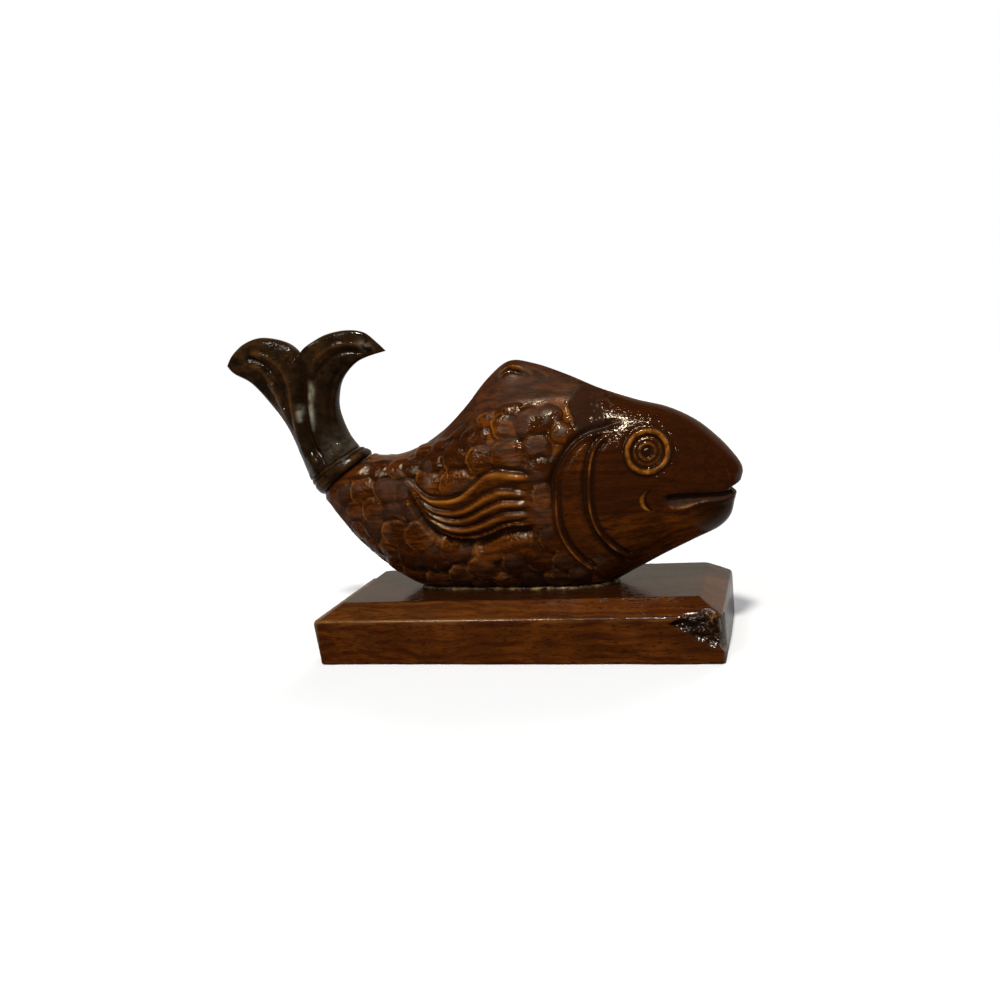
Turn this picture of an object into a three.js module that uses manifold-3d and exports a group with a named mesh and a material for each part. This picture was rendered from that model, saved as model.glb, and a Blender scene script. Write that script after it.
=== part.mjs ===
// Carved wooden fish standing on a chamfered plinth, with a raised forked tail.
// Millimetres, +Z up. The origin is the centre of the plinth's underside, and the nose points along +X.

import * as THREE from "three";
import { mergeVertices } from "three/addons/utils/BufferGeometryUtils.js";
import Module from "manifold-3d";

// Plinth: a plank with a wide chamfer round its top and slightly undercut ends
const PLINTH_LENGTH = 172;
const PLINTH_DEPTH = 72;
const PLINTH_HEIGHT = 25;
const CHAMFER_INSET = 9.5;
const CHAMFER_DROP = 6;
const PLINTH_UNDERCUT = 0.7;
const PLINTH_CORNER = 2;

// Main sizes of the fish, in its own frame with the seat at z = 0
const BODY_LENGTH = 178;
const BODY_HEIGHT = 97;
const BODY_WIDTH = 43.4;
const TAIL_WIDTH = 76.8;
const TAIL_HEIGHT = 58.4;

// Ribs of the body from the tail stalk to the nose. The belly and back points are shares of the body's
// length and height, and half is a share of half its width. The crown is the sharpness of the back
// (1 round, 2 a wedge) and the waist the share of the rib's height at which it is widest.
// The belly dips below the seat, which is cut flat.
const BODY_RIBS = [
  { belly: [-0.466, 0.325], back: [-0.326, 0.621], half: 0.654, crown: 1.05, waist: 0.5 },
  { belly: [-0.416, 0.211], back: [-0.275, 0.631], half: 0.751, crown: 1.15, waist: 0.48 },
  { belly: [-0.348, 0.099], back: [-0.225, 0.665], half: 0.839, crown: 1.3, waist: 0.46 },
  { belly: [-0.281, 0.016], back: [-0.169, 0.722], half: 0.908, crown: 1.5, waist: 0.44 },
  { belly: [-0.213, -0.013], back: [-0.112, 0.814], half: 0.954, crown: 1.7, waist: 0.42 },
  { belly: [-0.129, -0.025], back: [-0.051, 0.928], half: 0.982, crown: 1.85, waist: 0.4 },
  { belly: [-0.045, -0.033], back: [0.006, 0.998], half: 0.995, crown: 1.9, waist: 0.39 },
  { belly: [0.045, -0.039], back: [0.067, 0.979], half: 1, crown: 1.85, waist: 0.39 },
  { belly: [0.124, -0.039], back: [0.14, 0.923], half: 0.986, crown: 1.7, waist: 0.4 },
  { belly: [0.202, -0.01], back: [0.219, 0.851], half: 0.945, crown: 1.45, waist: 0.42 },
  { belly: [0.281, 0.062], back: [0.298, 0.794], half: 0.871, crown: 1.2, waist: 0.45 },
  { belly: [0.354, 0.128], back: [0.371, 0.753], half: 0.77, crown: 1.1, waist: 0.47 },
  { belly: [0.421, 0.184], back: [0.433, 0.691], half: 0.654, crown: 1.05, waist: 0.49 },
  { belly: [0.472, 0.227], back: [0.483, 0.608], half: 0.521, crown: 1, waist: 0.5 },
  { belly: [0.498, 0.271], back: [0.517, 0.531], half: 0.378, crown: 1, waist: 0.5 },
  { belly: [0.508, 0.32], back: [0.53, 0.49], half: 0.24, crown: 1, waist: 0.5 },
  { belly: [0.512, 0.363], back: [0.533, 0.459], half: 0.12, crown: 1, waist: 0.5 },
];

// Tail stalk: the flat end of the body that the collar is glued to, its middle in shares of the body
const STALK_CENTRE = [-0.44, 0.538];
const STALK_TILT = 36;
const STALK_HEIGHT = 30.4;
const STALK_WIDTH = 24;

// Collar: a rounded band that leans with the bend from body to tail
const COLLAR_LENGTH = 7.2;
const COLLAR_LEAN = 136;
const COLLAR_PROUD = 0.3;
const COLLAR_ROUND = 0.8;

// Tail fin: outlines from the middle of its foot, in shares of the tail's width and height
const FOOT_TILT = 30.5;
const FOOT_HEIGHT = 27.6;
const FOOT_WIDTH = 23;
const TAIL_NEAR_EDGE = [
  [0.101, 0.228], [0.063, 0.408], [0.08, 0.55], [0.121, 0.654], [0.196, 0.744], [0.274, 0.787],
];
const TAIL_FAR_EDGE = [[-0.208, 0.103], [-0.26, 0.288], [-0.346, 0.466], [-0.465, 0.655], [-0.575, 0.745]];
const TAIL_NEAR_TIP = [0.394, 0.82];
const TAIL_FAR_TIP = [-0.618, 0.81];
const TAIL_NEAR_LOBE = [[-0.064, 0.919], [0.035, 0.979], [0.161, 0.999], [0.27, 0.972], [0.345, 0.888]];
const TAIL_FAR_LOBE = [[-0.57, 0.893], [-0.48, 0.972], [-0.36, 1.002], [-0.21, 0.949]];
const TAIL_NOTCH = [-0.123, 0.846];
const BLADE_WIDTH = 9;

// Carving on the tail: the split between its two strands, their swell beside it and a ridge along each lobe.
// Reaches are shares of the way across or up the tail.
const SPLIT_DEPTH = 2.2;
const SPLIT_REACH = 0.11;
const STRAND_SWELL = 0.8;
const STRAND_REACH = 0.55;
const RIDGE_HEIGHT = 0.8;
const RIDGE_PLACE = 0.87;
const RIDGE_REACH = 0.08;

// Joints: the glue gap, the dowel through the collar and the two screws up through the plinth
const GLUE_GAP = 0.3;
const DOWEL_DIAMETER = 8;
const DOWEL_BODY_DEPTH = 15;
const DOWEL_TAIL_DEPTH = 13;
const DOWEL_CLEARANCE = 0.3;
const SCREW_SPACING = 46;
const SCREW_CENTRE_X = -5;
const SCREW_DIAMETER = 4.4;
const SCREW_HEAD = 8.6;
const SCREW_HEAD_HEIGHT = 2.8;
const SCREW_RIM = 0.5;
const SCREW_BITE = 18;
const SCREW_POINT = 6;
const SCREW_RECESS = 1;
const SCREW_CLEARANCE = 0.3;
const SLOT_WIDTH = 1.2;
const SLOT_DEPTH = 1.3;

// Carving on each flank, with its lines in shares of the body's length and height
const EYE_CENTRE = [0.33, 0.588];
const EYE_RADIUS = 8.5;
const EYE_RING = 1.5;
const GILL_OUTER = [
  [0.236, 0.682], [0.202, 0.67], [0.174, 0.644], [0.152, 0.603], [0.135, 0.557], [0.124, 0.515],
  [0.118, 0.412], [0.118, 0.309], [0.135, 0.206], [0.169, 0.119], [0.185, 0.088],
];
const GILL_INNER = [
  [0.236, 0.662], [0.217, 0.629], [0.206, 0.588], [0.199, 0.536], [0.194, 0.412],
  [0.195, 0.361], [0.211, 0.258], [0.248, 0.171], [0.274, 0.129],
];
const GILL_WIDTH = 2.4;
const GILL_HEIGHT = 0.9;
const FIN_TOP = [
  [0.053, 0.515], [0.028, 0.526], [-0.017, 0.539], [-0.045, 0.526], [-0.067, 0.5], [-0.09, 0.469],
  [-0.112, 0.443], [-0.135, 0.431], [-0.185, 0.432], [-0.208, 0.454], [-0.228, 0.485],
];
const FIN_BOTTOM = [
  [0.045, 0.316], [0.011, 0.315], [-0.017, 0.304], [-0.045, 0.284], [-0.073, 0.268], [-0.101, 0.265],
  [-0.124, 0.268], [-0.152, 0.284], [-0.18, 0.314], [-0.202, 0.356], [-0.222, 0.412],
];
const FIN_CRESTS = [0, 0.355, 0.56, 0.785, 1];
const FIN_HEIGHT = 0.1;
const FIN_RIDGE_HEIGHT = 1.5;
const FIN_SCALLOP = 0.07;
const FIN_HOLLOW_DEPTH = 2.2;
const FIN_HOLLOW_REACH = 9;
const MOUTH_UPPER = [[0.371, 0.381], [0.416, 0.402], [0.478, 0.404], [0.551, 0.416]];
const MOUTH_LOWER = [[0.371, 0.371], [0.41, 0.346], [0.472, 0.361], [0.551, 0.371]];
const MOUTH_DEPTH = 2.2;
const LIP_GAPE = 4.5;
const LIP_NOTCH = 5.5;
const CARVING_ROOT = 2.5;

// Scales of each flank from back to belly, in shares of the body: place along it, height and radius.
// Each one is a low dome that leans towards the head, so that its edge stands out at the tail.
const SCALES = [
  [0.112, 0.758, 0.03], [0.065, 0.737, 0.041], [0.003, 0.732, 0.035], [-0.048, 0.773, 0.027],
  [-0.076, 0.691, 0.036], [-0.124, 0.727, 0.028], [-0.169, 0.67, 0.031], [0.138, 0.691, 0.029],
  [0.076, 0.629, 0.038], [0.006, 0.613, 0.04], [-0.059, 0.598, 0.035], [-0.124, 0.624, 0.04],
  [-0.188, 0.593, 0.035], [-0.239, 0.577, 0.031], [-0.275, 0.572, 0.034], [-0.323, 0.572, 0.033],
  [-0.379, 0.567, 0.031], [0.087, 0.531, 0.04], [-0.129, 0.503, 0.04], [-0.202, 0.51, 0.035],
  [-0.253, 0.474, 0.034], [-0.306, 0.474, 0.036], [-0.371, 0.479, 0.036], [-0.421, 0.454, 0.031],
  [0.09, 0.433, 0.031], [-0.242, 0.392, 0.028], [-0.287, 0.376, 0.032], [-0.343, 0.402, 0.035],
  [-0.396, 0.381, 0.034], [0.08, 0.34, 0.04], [0.101, 0.242, 0.035], [0.02, 0.247, 0.044],
  [-0.053, 0.216, 0.038], [-0.14, 0.206, 0.04], [-0.225, 0.273, 0.039], [-0.289, 0.289, 0.037],
  [-0.348, 0.309, 0.035], [0.129, 0.144, 0.033], [0.07, 0.149, 0.038], [0.006, 0.134, 0.038],
  [-0.081, 0.113, 0.038], [-0.191, 0.16, 0.039], [-0.256, 0.18, 0.038], [-0.312, 0.206, 0.035],
  [-0.135, 0.082, 0.037],
];
const SCALE_HEIGHT = 0.9;
const SCALE_RIM = 0.2;
const SCALE_LEAN = 7;

// Fineness of the facets
const RIB_STEPS = 34;
const GIRTH_STEPS = 32;
const TAIL_STEPS = 17;
const TAIL_SIDE_STEPS = 30;
const ROUND_STEPS = 20;
const SCALE_SIDES = 7;

const wasm = await Module();
wasm.setup();

// Solids and meshes

function geometryOf(points, triangles) {
  const geometry = new THREE.BufferGeometry();
  geometry.setAttribute("position", new THREE.Float32BufferAttribute(points.flat(), 3));
  geometry.setIndex(triangles.flat());
  return geometry;
}

function solidOf(geometry) {
  const bare = geometry.clone();
  bare.deleteAttribute("normal");
  bare.deleteAttribute("uv");
  const merged = mergeVertices(bare);
  return new wasm.Manifold(
    new wasm.Mesh({
      numProp: 3,
      vertProperties: merged.attributes.position.array,
      triVerts: Uint32Array.from(merged.index.array),
    }),
  );
}

function meshOf(name, solid, material) {
  const { vertProperties, triVerts } = solid.getMesh();
  const geometry = new THREE.BufferGeometry();
  geometry.setAttribute("position", new THREE.BufferAttribute(vertProperties, 3));
  geometry.setIndex(new THREE.BufferAttribute(triVerts, 1));
  geometry.computeVertexNormals();
  const mesh = new THREE.Mesh(geometry, material);
  mesh.name = name;
  return mesh;
}

// Triangles that skin a row of loops with equal point counts.
function wallTriangles(rows, count) {
  const triangles = [];
  for (let row = 0; row + 1 < rows; row += 1) {
    for (let i = 0; i < count; i += 1) {
      const a = row * count + i;
      const b = row * count + ((i + 1) % count);
      triangles.push([a, b, b + count], [a, b + count, a + count]);
    }
  }
  return triangles;
}

// Skins a row of loops and closes the first and the last with fans.
function loft(loops) {
  const count = loops[0].length;
  const points = loops.flat();
  const triangles = wallTriangles(loops.length, count);
  const last = points.length - count;
  const first = points.push(centreOf(loops[0])) - 1;
  const end = points.push(centreOf(loops.at(-1))) - 1;
  for (let i = 0; i < count; i += 1) {
    const next = (i + 1) % count;
    triangles.push([first, next, i], [end, last + i, last + next]);
  }
  return solidOf(geometryOf(points, triangles));
}

function centreOf(loop) {
  return [0, 1, 2].map((axis) => loop.reduce((sum, point) => sum + point[axis], 0) / loop.length);
}

function lathe(profile, sides = ROUND_STEPS) {
  const points = profile.map(([radius, height]) => new THREE.Vector2(radius, height));
  return solidOf(new THREE.LatheGeometry(points, sides).rotateX(Math.PI / 2));
}

function cylinder(radius, from, to) {
  return lathe([[0, from], [radius, from], [radius, to], [0, to]]);
}

function curveThrough(points) {
  return new THREE.SplineCurve(points.map(([x, z]) => new THREE.Vector2(x, z)));
}

function mix(a, b, share) {
  return a + (b - a) * share;
}

// A ridge that is full at a place and falls off evenly to nothing within its reach.
function peak(place, reach) {
  return Math.max(0, 1 - Math.abs(place) / reach);
}

// A direction in the fish's upright plane, as [x, z], at an angle above +X.
function heading(degrees) {
  const angle = THREE.MathUtils.degToRad(degrees);
  return [Math.cos(angle), Math.sin(angle)];
}

// Turns a solid made along +Z to point along a direction, and moves its origin to a place.
function aimed(solid, direction, place) {
  const turn = new THREE.Quaternion().setFromUnitVectors(new THREE.Vector3(0, 0, 1), direction);
  const matrix = new THREE.Matrix4().compose(place, turn, new THREE.Vector3(1, 1, 1));
  return solid.transform(matrix.elements);
}

function mirrored(solid) {
  return solid.mirror([0, 1, 0]);
}

// Shares of the body's length and height as a place in the fish's frame.
function onBody([along, up]) {
  return [along * BODY_LENGTH, up * BODY_HEIGHT];
}

// Shares of the tail's width and height as a place from the middle of its foot.
function onTail([along, up]) {
  return [along * TAIL_WIDTH, up * TAIL_HEIGHT];
}

// Fish body

const [stalkX, stalkZ] = onBody(STALK_CENTRE);
const [stalkAlongX, stalkAlongZ] = heading(STALK_TILT);
const stalkRib = {
  belly: [stalkX - (stalkAlongX * STALK_HEIGHT) / 2, stalkZ - (stalkAlongZ * STALK_HEIGHT) / 2],
  back: [stalkX + (stalkAlongX * STALK_HEIGHT) / 2, stalkZ + (stalkAlongZ * STALK_HEIGHT) / 2],
  half: STALK_WIDTH / 2,
  crown: 1,
  waist: 0.5,
};
const bodyRibs = BODY_RIBS.map((rib) => ({
  ...rib,
  belly: onBody(rib.belly),
  back: onBody(rib.back),
  half: (rib.half * BODY_WIDTH) / 2,
}));
const ribs = [stalkRib, ...bodyRibs];
const bellyLine = curveThrough(ribs.map((rib) => rib.belly));
const backLine = curveThrough(ribs.map((rib) => rib.back));
const girthLine = curveThrough(ribs.map((rib) => [rib.half, rib.crown]));
const waistLine = curveThrough(ribs.map((rib) => [rib.waist, 0]));
const widest = Math.max(...ribs.map((rib) => rib.half));
const longest = Math.max(...ribs.map((rib) => Math.abs(rib.belly[0])));

function ribAt(along) {
  const girth = girthLine.getPoint(along);
  return {
    belly: bellyLine.getPoint(along),
    back: backLine.getPoint(along),
    half: girth.x,
    crown: girth.y,
    waist: waistLine.getPoint(along).x,
  };
}

// A rib's loop: an ellipse stretched above and below its waist, pinched to a wedge by the crown.
function ribLoop(rib) {
  return Array.from({ length: GIRTH_STEPS }, (_, i) => {
    const angle = (2 * Math.PI * i) / GIRTH_STEPS;
    const rise = Math.sin(angle);
    const reach = Math.cos(angle);
    const share = rise < 0 ? rib.waist * (1 + rise) : mix(rib.waist, 1, rise);
    const width = rib.half * Math.abs(reach) ** (rise > 0 ? rib.crown : 1);
    return [
      mix(rib.belly.x, rib.back.x, share),
      Math.sign(reach) * width,
      mix(rib.belly.y, rib.back.y, share),
    ];
  });
}

// Half the body's width where a line across it passes x and z.
function flankAt(x, z) {
  let low = 0;
  let high = 1;
  const behind = (rib) => {
    const up = rib.back.clone().sub(rib.belly);
    return up.cross(new THREE.Vector2(x, z).sub(rib.belly)) < 0;
  };
  for (let step = 0; step < 30; step += 1) {
    const middle = (low + high) / 2;
    if (behind(ribAt(middle))) low = middle;
    else high = middle;
  }
  const rib = ribAt(low);
  const up = rib.back.clone().sub(rib.belly);
  const share = new THREE.Vector2(x, z).sub(rib.belly).dot(up) / up.lengthSq();
  const rise = share < rib.waist ? share / rib.waist - 1 : (share - rib.waist) / (1 - rib.waist);
  const reach = Math.sqrt(Math.max(0, 1 - rise * rise));
  return rib.half * reach ** (rise > 0 ? rib.crown : 1);
}

// The way out of the flank at -Y where a line across it passes x and z.
function outwardAt(x, z) {
  const slopeX = (flankAt(x + 1, z) - flankAt(x - 1, z)) / 2;
  const slopeZ = (flankAt(x, z + 1) - flankAt(x, z - 1)) / 2;
  return new THREE.Vector3(-slopeX, -1, -slopeZ).normalize();
}

// A pad over the flank at -Y: a grid of places in x and z, from a depth in the wood out to a height over it.
function flankPad(placeAt, heightAt, depthAt, acrossSteps, alongSteps) {
  const loops = [];
  for (let row = 0; row <= alongSteps; row += 1) {
    const outer = [];
    const inner = [];
    for (let i = 0; i <= acrossSteps; i += 1) {
      const across = i / acrossSteps;
      const along = row / alongSteps;
      const [x, z] = placeAt(along, across);
      const flank = flankAt(x, z);
      outer.push([x, -flank - heightAt(along, across), z]);
      inner.unshift([x, -flank + depthAt(along, across), z]);
    }
    loops.push([...outer, ...inner]);
  }
  const pad = loft(loops);
  return pad.volume() < 0 ? loft(loops.reverse()) : pad;
}

// Full in the middle of a carving and thin at its two ends.
function swell(along) {
  return Math.sin(Math.PI * mix(0.04, 0.96, along)) ** 0.4;
}

// A rounded rim along a line on the flank.
function flankRim(points, width, height) {
  const line = curveThrough(points.map(onBody));
  const placeAt = (along, across) => {
    const place = line.getPoint(along);
    const ahead = line.getTangent(along);
    const aside = (across - 0.5) * width * swell(along);
    return [place.x - ahead.y * aside, place.y + ahead.x * aside];
  };
  const heightAt = (along, across) => height * Math.sin(Math.PI * across) * swell(along);
  return flankPad(placeAt, heightAt, () => CARVING_ROOT, 2, 14);
}

// The pectoral fin: a patch between its top and bottom edges with ridges that run along it.
function pectoralFin() {
  const top = curveThrough(FIN_TOP.map(onBody));
  const bottom = curveThrough(FIN_BOTTOM.map(onBody));
  const ridgeAt = (across) => {
    const next = Math.max(1, FIN_CRESTS.findIndex((crest) => crest >= across));
    const valley = (FIN_CRESTS[next - 1] + FIN_CRESTS[next]) / 2;
    const reach = (FIN_CRESTS[next] - FIN_CRESTS[next - 1]) / 2;
    return 1 - peak(across - valley, reach) ** 2;
  };
  const placeAt = (along, across) => {
    const inset = FIN_SCALLOP * (1 - ridgeAt(across));
    const upper = top.getPoint(mix(inset, 1 - inset, along));
    const lower = bottom.getPoint(mix(inset, 1 - inset, along));
    return [mix(upper.x, lower.x, across), mix(upper.y, lower.y, across)];
  };
  const heightAt = (along, across) => (FIN_HEIGHT + FIN_RIDGE_HEIGHT * ridgeAt(across)) * swell(along);
  return flankPad(placeAt, heightAt, () => CARVING_ROOT, 16, 9);
}

// The hollow under the pectoral fin, deepest along the fin's lower edge.
function finHollow() {
  const edge = curveThrough(FIN_BOTTOM.map(onBody));
  const placeAt = (along, across) => {
    const place = edge.getPoint(along);
    return [place.x, place.y - across * FIN_HOLLOW_REACH];
  };
  const depthAt = (along, across) => FIN_HOLLOW_DEPTH * (1 - across) * swell(along);
  return flankPad(placeAt, () => CARVING_ROOT, depthAt, 3, 10);
}

// The eye: a ring, a dish, a smaller ring and a pupil, turned about the flank's own direction.
function eye() {
  const [eyeX, eyeZ] = onBody(EYE_CENTRE);
  const rosette = lathe([
    [0, -CARVING_ROOT],
    [EYE_RADIUS, -CARVING_ROOT],
    [EYE_RADIUS, 0],
    [EYE_RADIUS - EYE_RING / 2, EYE_RING],
    [EYE_RADIUS - EYE_RING, EYE_RING * 0.7],
    [EYE_RADIUS - EYE_RING * 2, EYE_RING * 0.3],
    [EYE_RADIUS * 0.5, EYE_RING * 0.7],
    [EYE_RADIUS * 0.4, EYE_RING * 0.3],
    [EYE_RADIUS * 0.2, EYE_RING * 0.6],
    [0, EYE_RING * 0.8],
  ]);
  return aimed(rosette, outwardAt(eyeX, eyeZ), new THREE.Vector3(eyeX, -flankAt(eyeX, eyeZ), eyeZ));
}

// A scale: a low dome on the flank, rooted in the wood.
function scalePad([along, up, share]) {
  const [x, z] = onBody([along, up]);
  const radius = share * BODY_LENGTH;
  const lean = Math.tan(THREE.MathUtils.degToRad(SCALE_LEAN));
  const outward = outwardAt(x, z).add(new THREE.Vector3(lean, 0, 0)).normalize();
  const profile = [[0, -CARVING_ROOT], [radius, -CARVING_ROOT], [radius, SCALE_RIM], [0, SCALE_HEIGHT]];
  const dome = lathe(profile, SCALE_SIDES);
  return aimed(dome, outward, new THREE.Vector3(x, -flankAt(x, z), z));
}

// The mouth: a lens sunk in each flank, and the notch between the lips right across the snout.
function mouthSlot() {
  const upper = curveThrough(MOUTH_UPPER.map(onBody));
  const lower = curveThrough(MOUTH_LOWER.map(onBody));
  const placeAt = (along, across) => {
    const over = upper.getPoint(along);
    const under = lower.getPoint(along);
    return [mix(over.x, under.x, across), mix(over.y, under.y, across)];
  };
  return flankPad(placeAt, () => CARVING_ROOT, () => MOUTH_DEPTH, 3, 12);
}

function lipNotch() {
  const tip = ribs.at(-1);
  const front = Math.max(tip.back[0], tip.belly[0]);
  const height = mix(onBody(MOUTH_UPPER.at(-1))[1], onBody(MOUTH_LOWER.at(-1))[1], 0.5);
  const outline = new THREE.Shape();
  outline.moveTo(front - LIP_NOTCH, height);
  outline.lineTo(front + LIP_NOTCH, height - LIP_GAPE);
  outline.lineTo(front + LIP_NOTCH, height + LIP_GAPE);
  outline.closePath();
  const wedge = new THREE.ExtrudeGeometry(outline, { depth: 2 * widest, bevelEnabled: false });
  return solidOf(wedge.rotateX(Math.PI / 2).translate(0, widest, 0));
}

function fishBody() {
  const loops = Array.from({ length: RIB_STEPS + 1 }, (_, i) => ribLoop(ribAt(i / RIB_STEPS)));
  const belowSeat = new THREE.BoxGeometry(2 * longest, 4 * widest, 2 * widest).translate(0, 0, -widest);
  let body = loft(loops);
  for (const scale of SCALES) {
    const pad = scalePad(scale);
    body = body.add(pad).add(mirrored(pad));
  }
  const hollow = finHollow();
  body = body.subtract(hollow).subtract(mirrored(hollow)).subtract(solidOf(belowSeat));
  const carvings = [
    flankRim(GILL_OUTER, GILL_WIDTH, GILL_HEIGHT),
    flankRim(GILL_INNER, GILL_WIDTH, GILL_HEIGHT),
    pectoralFin(),
    eye(),
  ];
  for (const carving of carvings) {
    body = body.add(carving).add(mirrored(carving));
  }
  const slot = mouthSlot();
  body = body.subtract(slot).subtract(mirrored(slot)).subtract(lipNotch());
  body = body.subtract(dowelHole());
  for (const x of screwPlaces) {
    body = body.subtract(screwShape(SCREW_CLEARANCE).translate([x, 0, -PLINTH_HEIGHT]));
  }
  return body;
}

// Collar and dowel

const [leanX, leanZ] = heading(COLLAR_LEAN);
const footX = stalkX + leanX * (COLLAR_LENGTH + 2 * GLUE_GAP);
const footZ = stalkZ + leanZ * (COLLAR_LENGTH + 2 * GLUE_GAP);

// A loop round the bend from stalk to foot: share 0 is the stalk's face and 1 the foot's.
function bendLoop(share, proud) {
  const [alongX, alongZ] = heading(mix(STALK_TILT, FOOT_TILT, share));
  const halfHeight = mix(STALK_HEIGHT, FOOT_HEIGHT, share) / 2 + proud;
  const halfWidth = mix(STALK_WIDTH, FOOT_WIDTH, share) / 2 + proud;
  return Array.from({ length: GIRTH_STEPS }, (_, i) => {
    const angle = (2 * Math.PI * i) / GIRTH_STEPS;
    const reach = halfHeight * Math.sin(angle);
    return [
      mix(stalkX, footX, share) + alongX * reach,
      halfWidth * Math.cos(angle),
      mix(stalkZ, footZ, share) + alongZ * reach,
    ];
  });
}

function tailCollar() {
  const edge = (2 * GLUE_GAP) / COLLAR_LENGTH;
  const shoulder = edge + COLLAR_ROUND / COLLAR_LENGTH;
  const loops = [
    bendLoop(1 - edge, COLLAR_PROUD - COLLAR_ROUND),
    bendLoop(1 - shoulder, COLLAR_PROUD),
    bendLoop(0.5, COLLAR_PROUD + COLLAR_ROUND / 4),
    bendLoop(shoulder, COLLAR_PROUD),
    bendLoop(edge, COLLAR_PROUD - COLLAR_ROUND),
  ];
  return loft(loops).subtract(dowelHole());
}

function alongDowel(solid) {
  return aimed(solid, new THREE.Vector3(leanX, 0, leanZ), new THREE.Vector3(stalkX, 0, stalkZ));
}

const dowelEnd = COLLAR_LENGTH + 2 * GLUE_GAP + DOWEL_TAIL_DEPTH;

function dowelHole() {
  const radius = DOWEL_DIAMETER / 2 + DOWEL_CLEARANCE;
  return alongDowel(cylinder(radius, -DOWEL_BODY_DEPTH - DOWEL_CLEARANCE, dowelEnd + DOWEL_CLEARANCE));
}

function tailDowel() {
  const radius = DOWEL_DIAMETER / 2;
  const taper = radius / 4;
  return alongDowel(
    lathe([
      [0, -DOWEL_BODY_DEPTH],
      [radius - taper, -DOWEL_BODY_DEPTH],
      [radius, -DOWEL_BODY_DEPTH + taper],
      [radius, dowelEnd - taper],
      [radius - taper, dowelEnd],
      [0, dowelEnd],
    ]),
  );
}

// Tail fin

const [footAlongX, footAlongZ] = heading(FOOT_TILT);
const nearFoot = [(footAlongX * FOOT_HEIGHT) / 2, (footAlongZ * FOOT_HEIGHT) / 2];
const farFoot = nearFoot.map((value) => -value);
const nearTip = onTail(TAIL_NEAR_TIP);
const farTip = onTail(TAIL_FAR_TIP);
const notch = onTail(TAIL_NOTCH);
const nearEdge = curveThrough([nearFoot, ...TAIL_NEAR_EDGE.map(onTail), nearTip]);
const farEdge = curveThrough([farFoot, ...TAIL_FAR_EDGE.map(onTail), farTip]);
const nearLobe = curveThrough([notch, ...TAIL_NEAR_LOBE.map(onTail), nearTip]);
const farLobe = curveThrough([farTip, ...TAIL_FAR_LOBE.map(onTail), notch]);

// A point of the tail's outline patch: across runs from the far edge to the near edge, up from foot to lobes.
function tailPlace(across, up) {
  const far = farEdge.getPoint(up);
  const near = nearEdge.getPoint(up);
  const lobe = across < 0.5 ? farLobe.getPoint(across * 2) : nearLobe.getPoint(across * 2 - 1);
  const blend = (axis, i) => {
    const foot = mix(farFoot[i], nearFoot[i], across);
    const tips = mix(farTip[i], nearTip[i], across);
    return mix(far[axis], near[axis], across) + mix(foot, lobe[axis], up) - mix(foot, tips, up);
  };
  return [blend("x", 0), blend("y", 1)];
}

// Height of the carving over the tail.
function tailRelief(across, up) {
  const apart = Math.abs(2 * across - 1);
  const split = SPLIT_DEPTH * peak(apart, SPLIT_REACH);
  const strand = STRAND_SWELL * Math.sin(Math.PI * Math.min(1, apart / STRAND_REACH));
  const ridge = RIDGE_HEIGHT * peak(up - RIDGE_PLACE, RIDGE_REACH) * Math.min(1, apart / SPLIT_REACH);
  return (strand - split) * Math.min(1, up * 3) + ridge;
}

// Half the tail's thickness: full at the foot, a blade at the lobes, round at every edge.
function tailHalf(across, up) {
  const body = mix(FOOT_WIDTH, BLADE_WIDTH, Math.min(1, up * 1.6) ** 0.7) / 2;
  const side = Math.sqrt(Math.max(0, 1 - (2 * across - 1) ** 2));
  const brow = Math.sqrt(Math.max(0, 1 - up ** 8));
  return Math.max(0, (body + tailRelief(across, up)) * side * brow);
}

function tailFin() {
  const loops = [];
  for (let row = 0; row < TAIL_STEPS; row += 1) {
    const up = Math.sin((Math.PI * row) / (2 * TAIL_STEPS));
    loops.push(
      Array.from({ length: 2 * TAIL_SIDE_STEPS }, (_, i) => {
        const angle = (Math.PI * i) / TAIL_SIDE_STEPS;
        const across = (1 - Math.cos(angle)) / 2;
        const [x, z] = tailPlace(across, up);
        const side = i < TAIL_SIDE_STEPS ? -1 : 1;
        return [footX + x, side * tailHalf(across, up), footZ + z];
      }),
    );
  }
  const fin = crested(loops);
  return fin.subtract(dowelHole());
}

// Skins the tail's loops, with a fan at the foot and a ridge along the lobes' brow.
function crested(loops) {
  const count = loops[0].length;
  const half = count / 2;
  const points = loops.flat();
  const triangles = wallTriangles(loops.length, count);
  const last = points.length - count;
  const foot = points.push(centreOf(loops[0])) - 1;
  const brow = Array.from({ length: half + 1 }, (_, i) => {
    const [x, z] = tailPlace((1 - Math.cos((Math.PI * i) / half)) / 2, 1);
    return points.push([footX + x, 0, footZ + z]) - 1;
  });
  for (let i = 0; i < count; i += 1) {
    const next = (i + 1) % count;
    const over = brow[i <= half ? i : count - i];
    const overNext = brow[i < half ? i + 1 : count - i - 1];
    triangles.push([foot, next, i], [last + i, last + next, overNext], [last + i, overNext, over]);
  }
  return solidOf(geometryOf(points, triangles));
}

// Plinth and screws

const screwPlaces = [SCREW_CENTRE_X + SCREW_SPACING / 2, SCREW_CENTRE_X - SCREW_SPACING / 2];
const screwLength = PLINTH_HEIGHT - SCREW_RECESS + SCREW_BITE;

// A countersunk screw standing on its head from the plinth's underside, grown by a clearance.
function screwShape(clearance) {
  const head = SCREW_HEAD / 2 + clearance;
  const shank = SCREW_DIAMETER / 2 + clearance;
  const foot = clearance > 0 ? -SCREW_RECESS : SCREW_RECESS;
  const tip = SCREW_RECESS + screwLength;
  return lathe([
    [0, foot],
    [head, foot],
    [head, SCREW_RECESS + SCREW_RIM],
    [shank, SCREW_RECESS + SCREW_HEAD_HEIGHT],
    [shank, tip - SCREW_POINT],
    [0, tip + clearance],
  ]);
}

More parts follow.
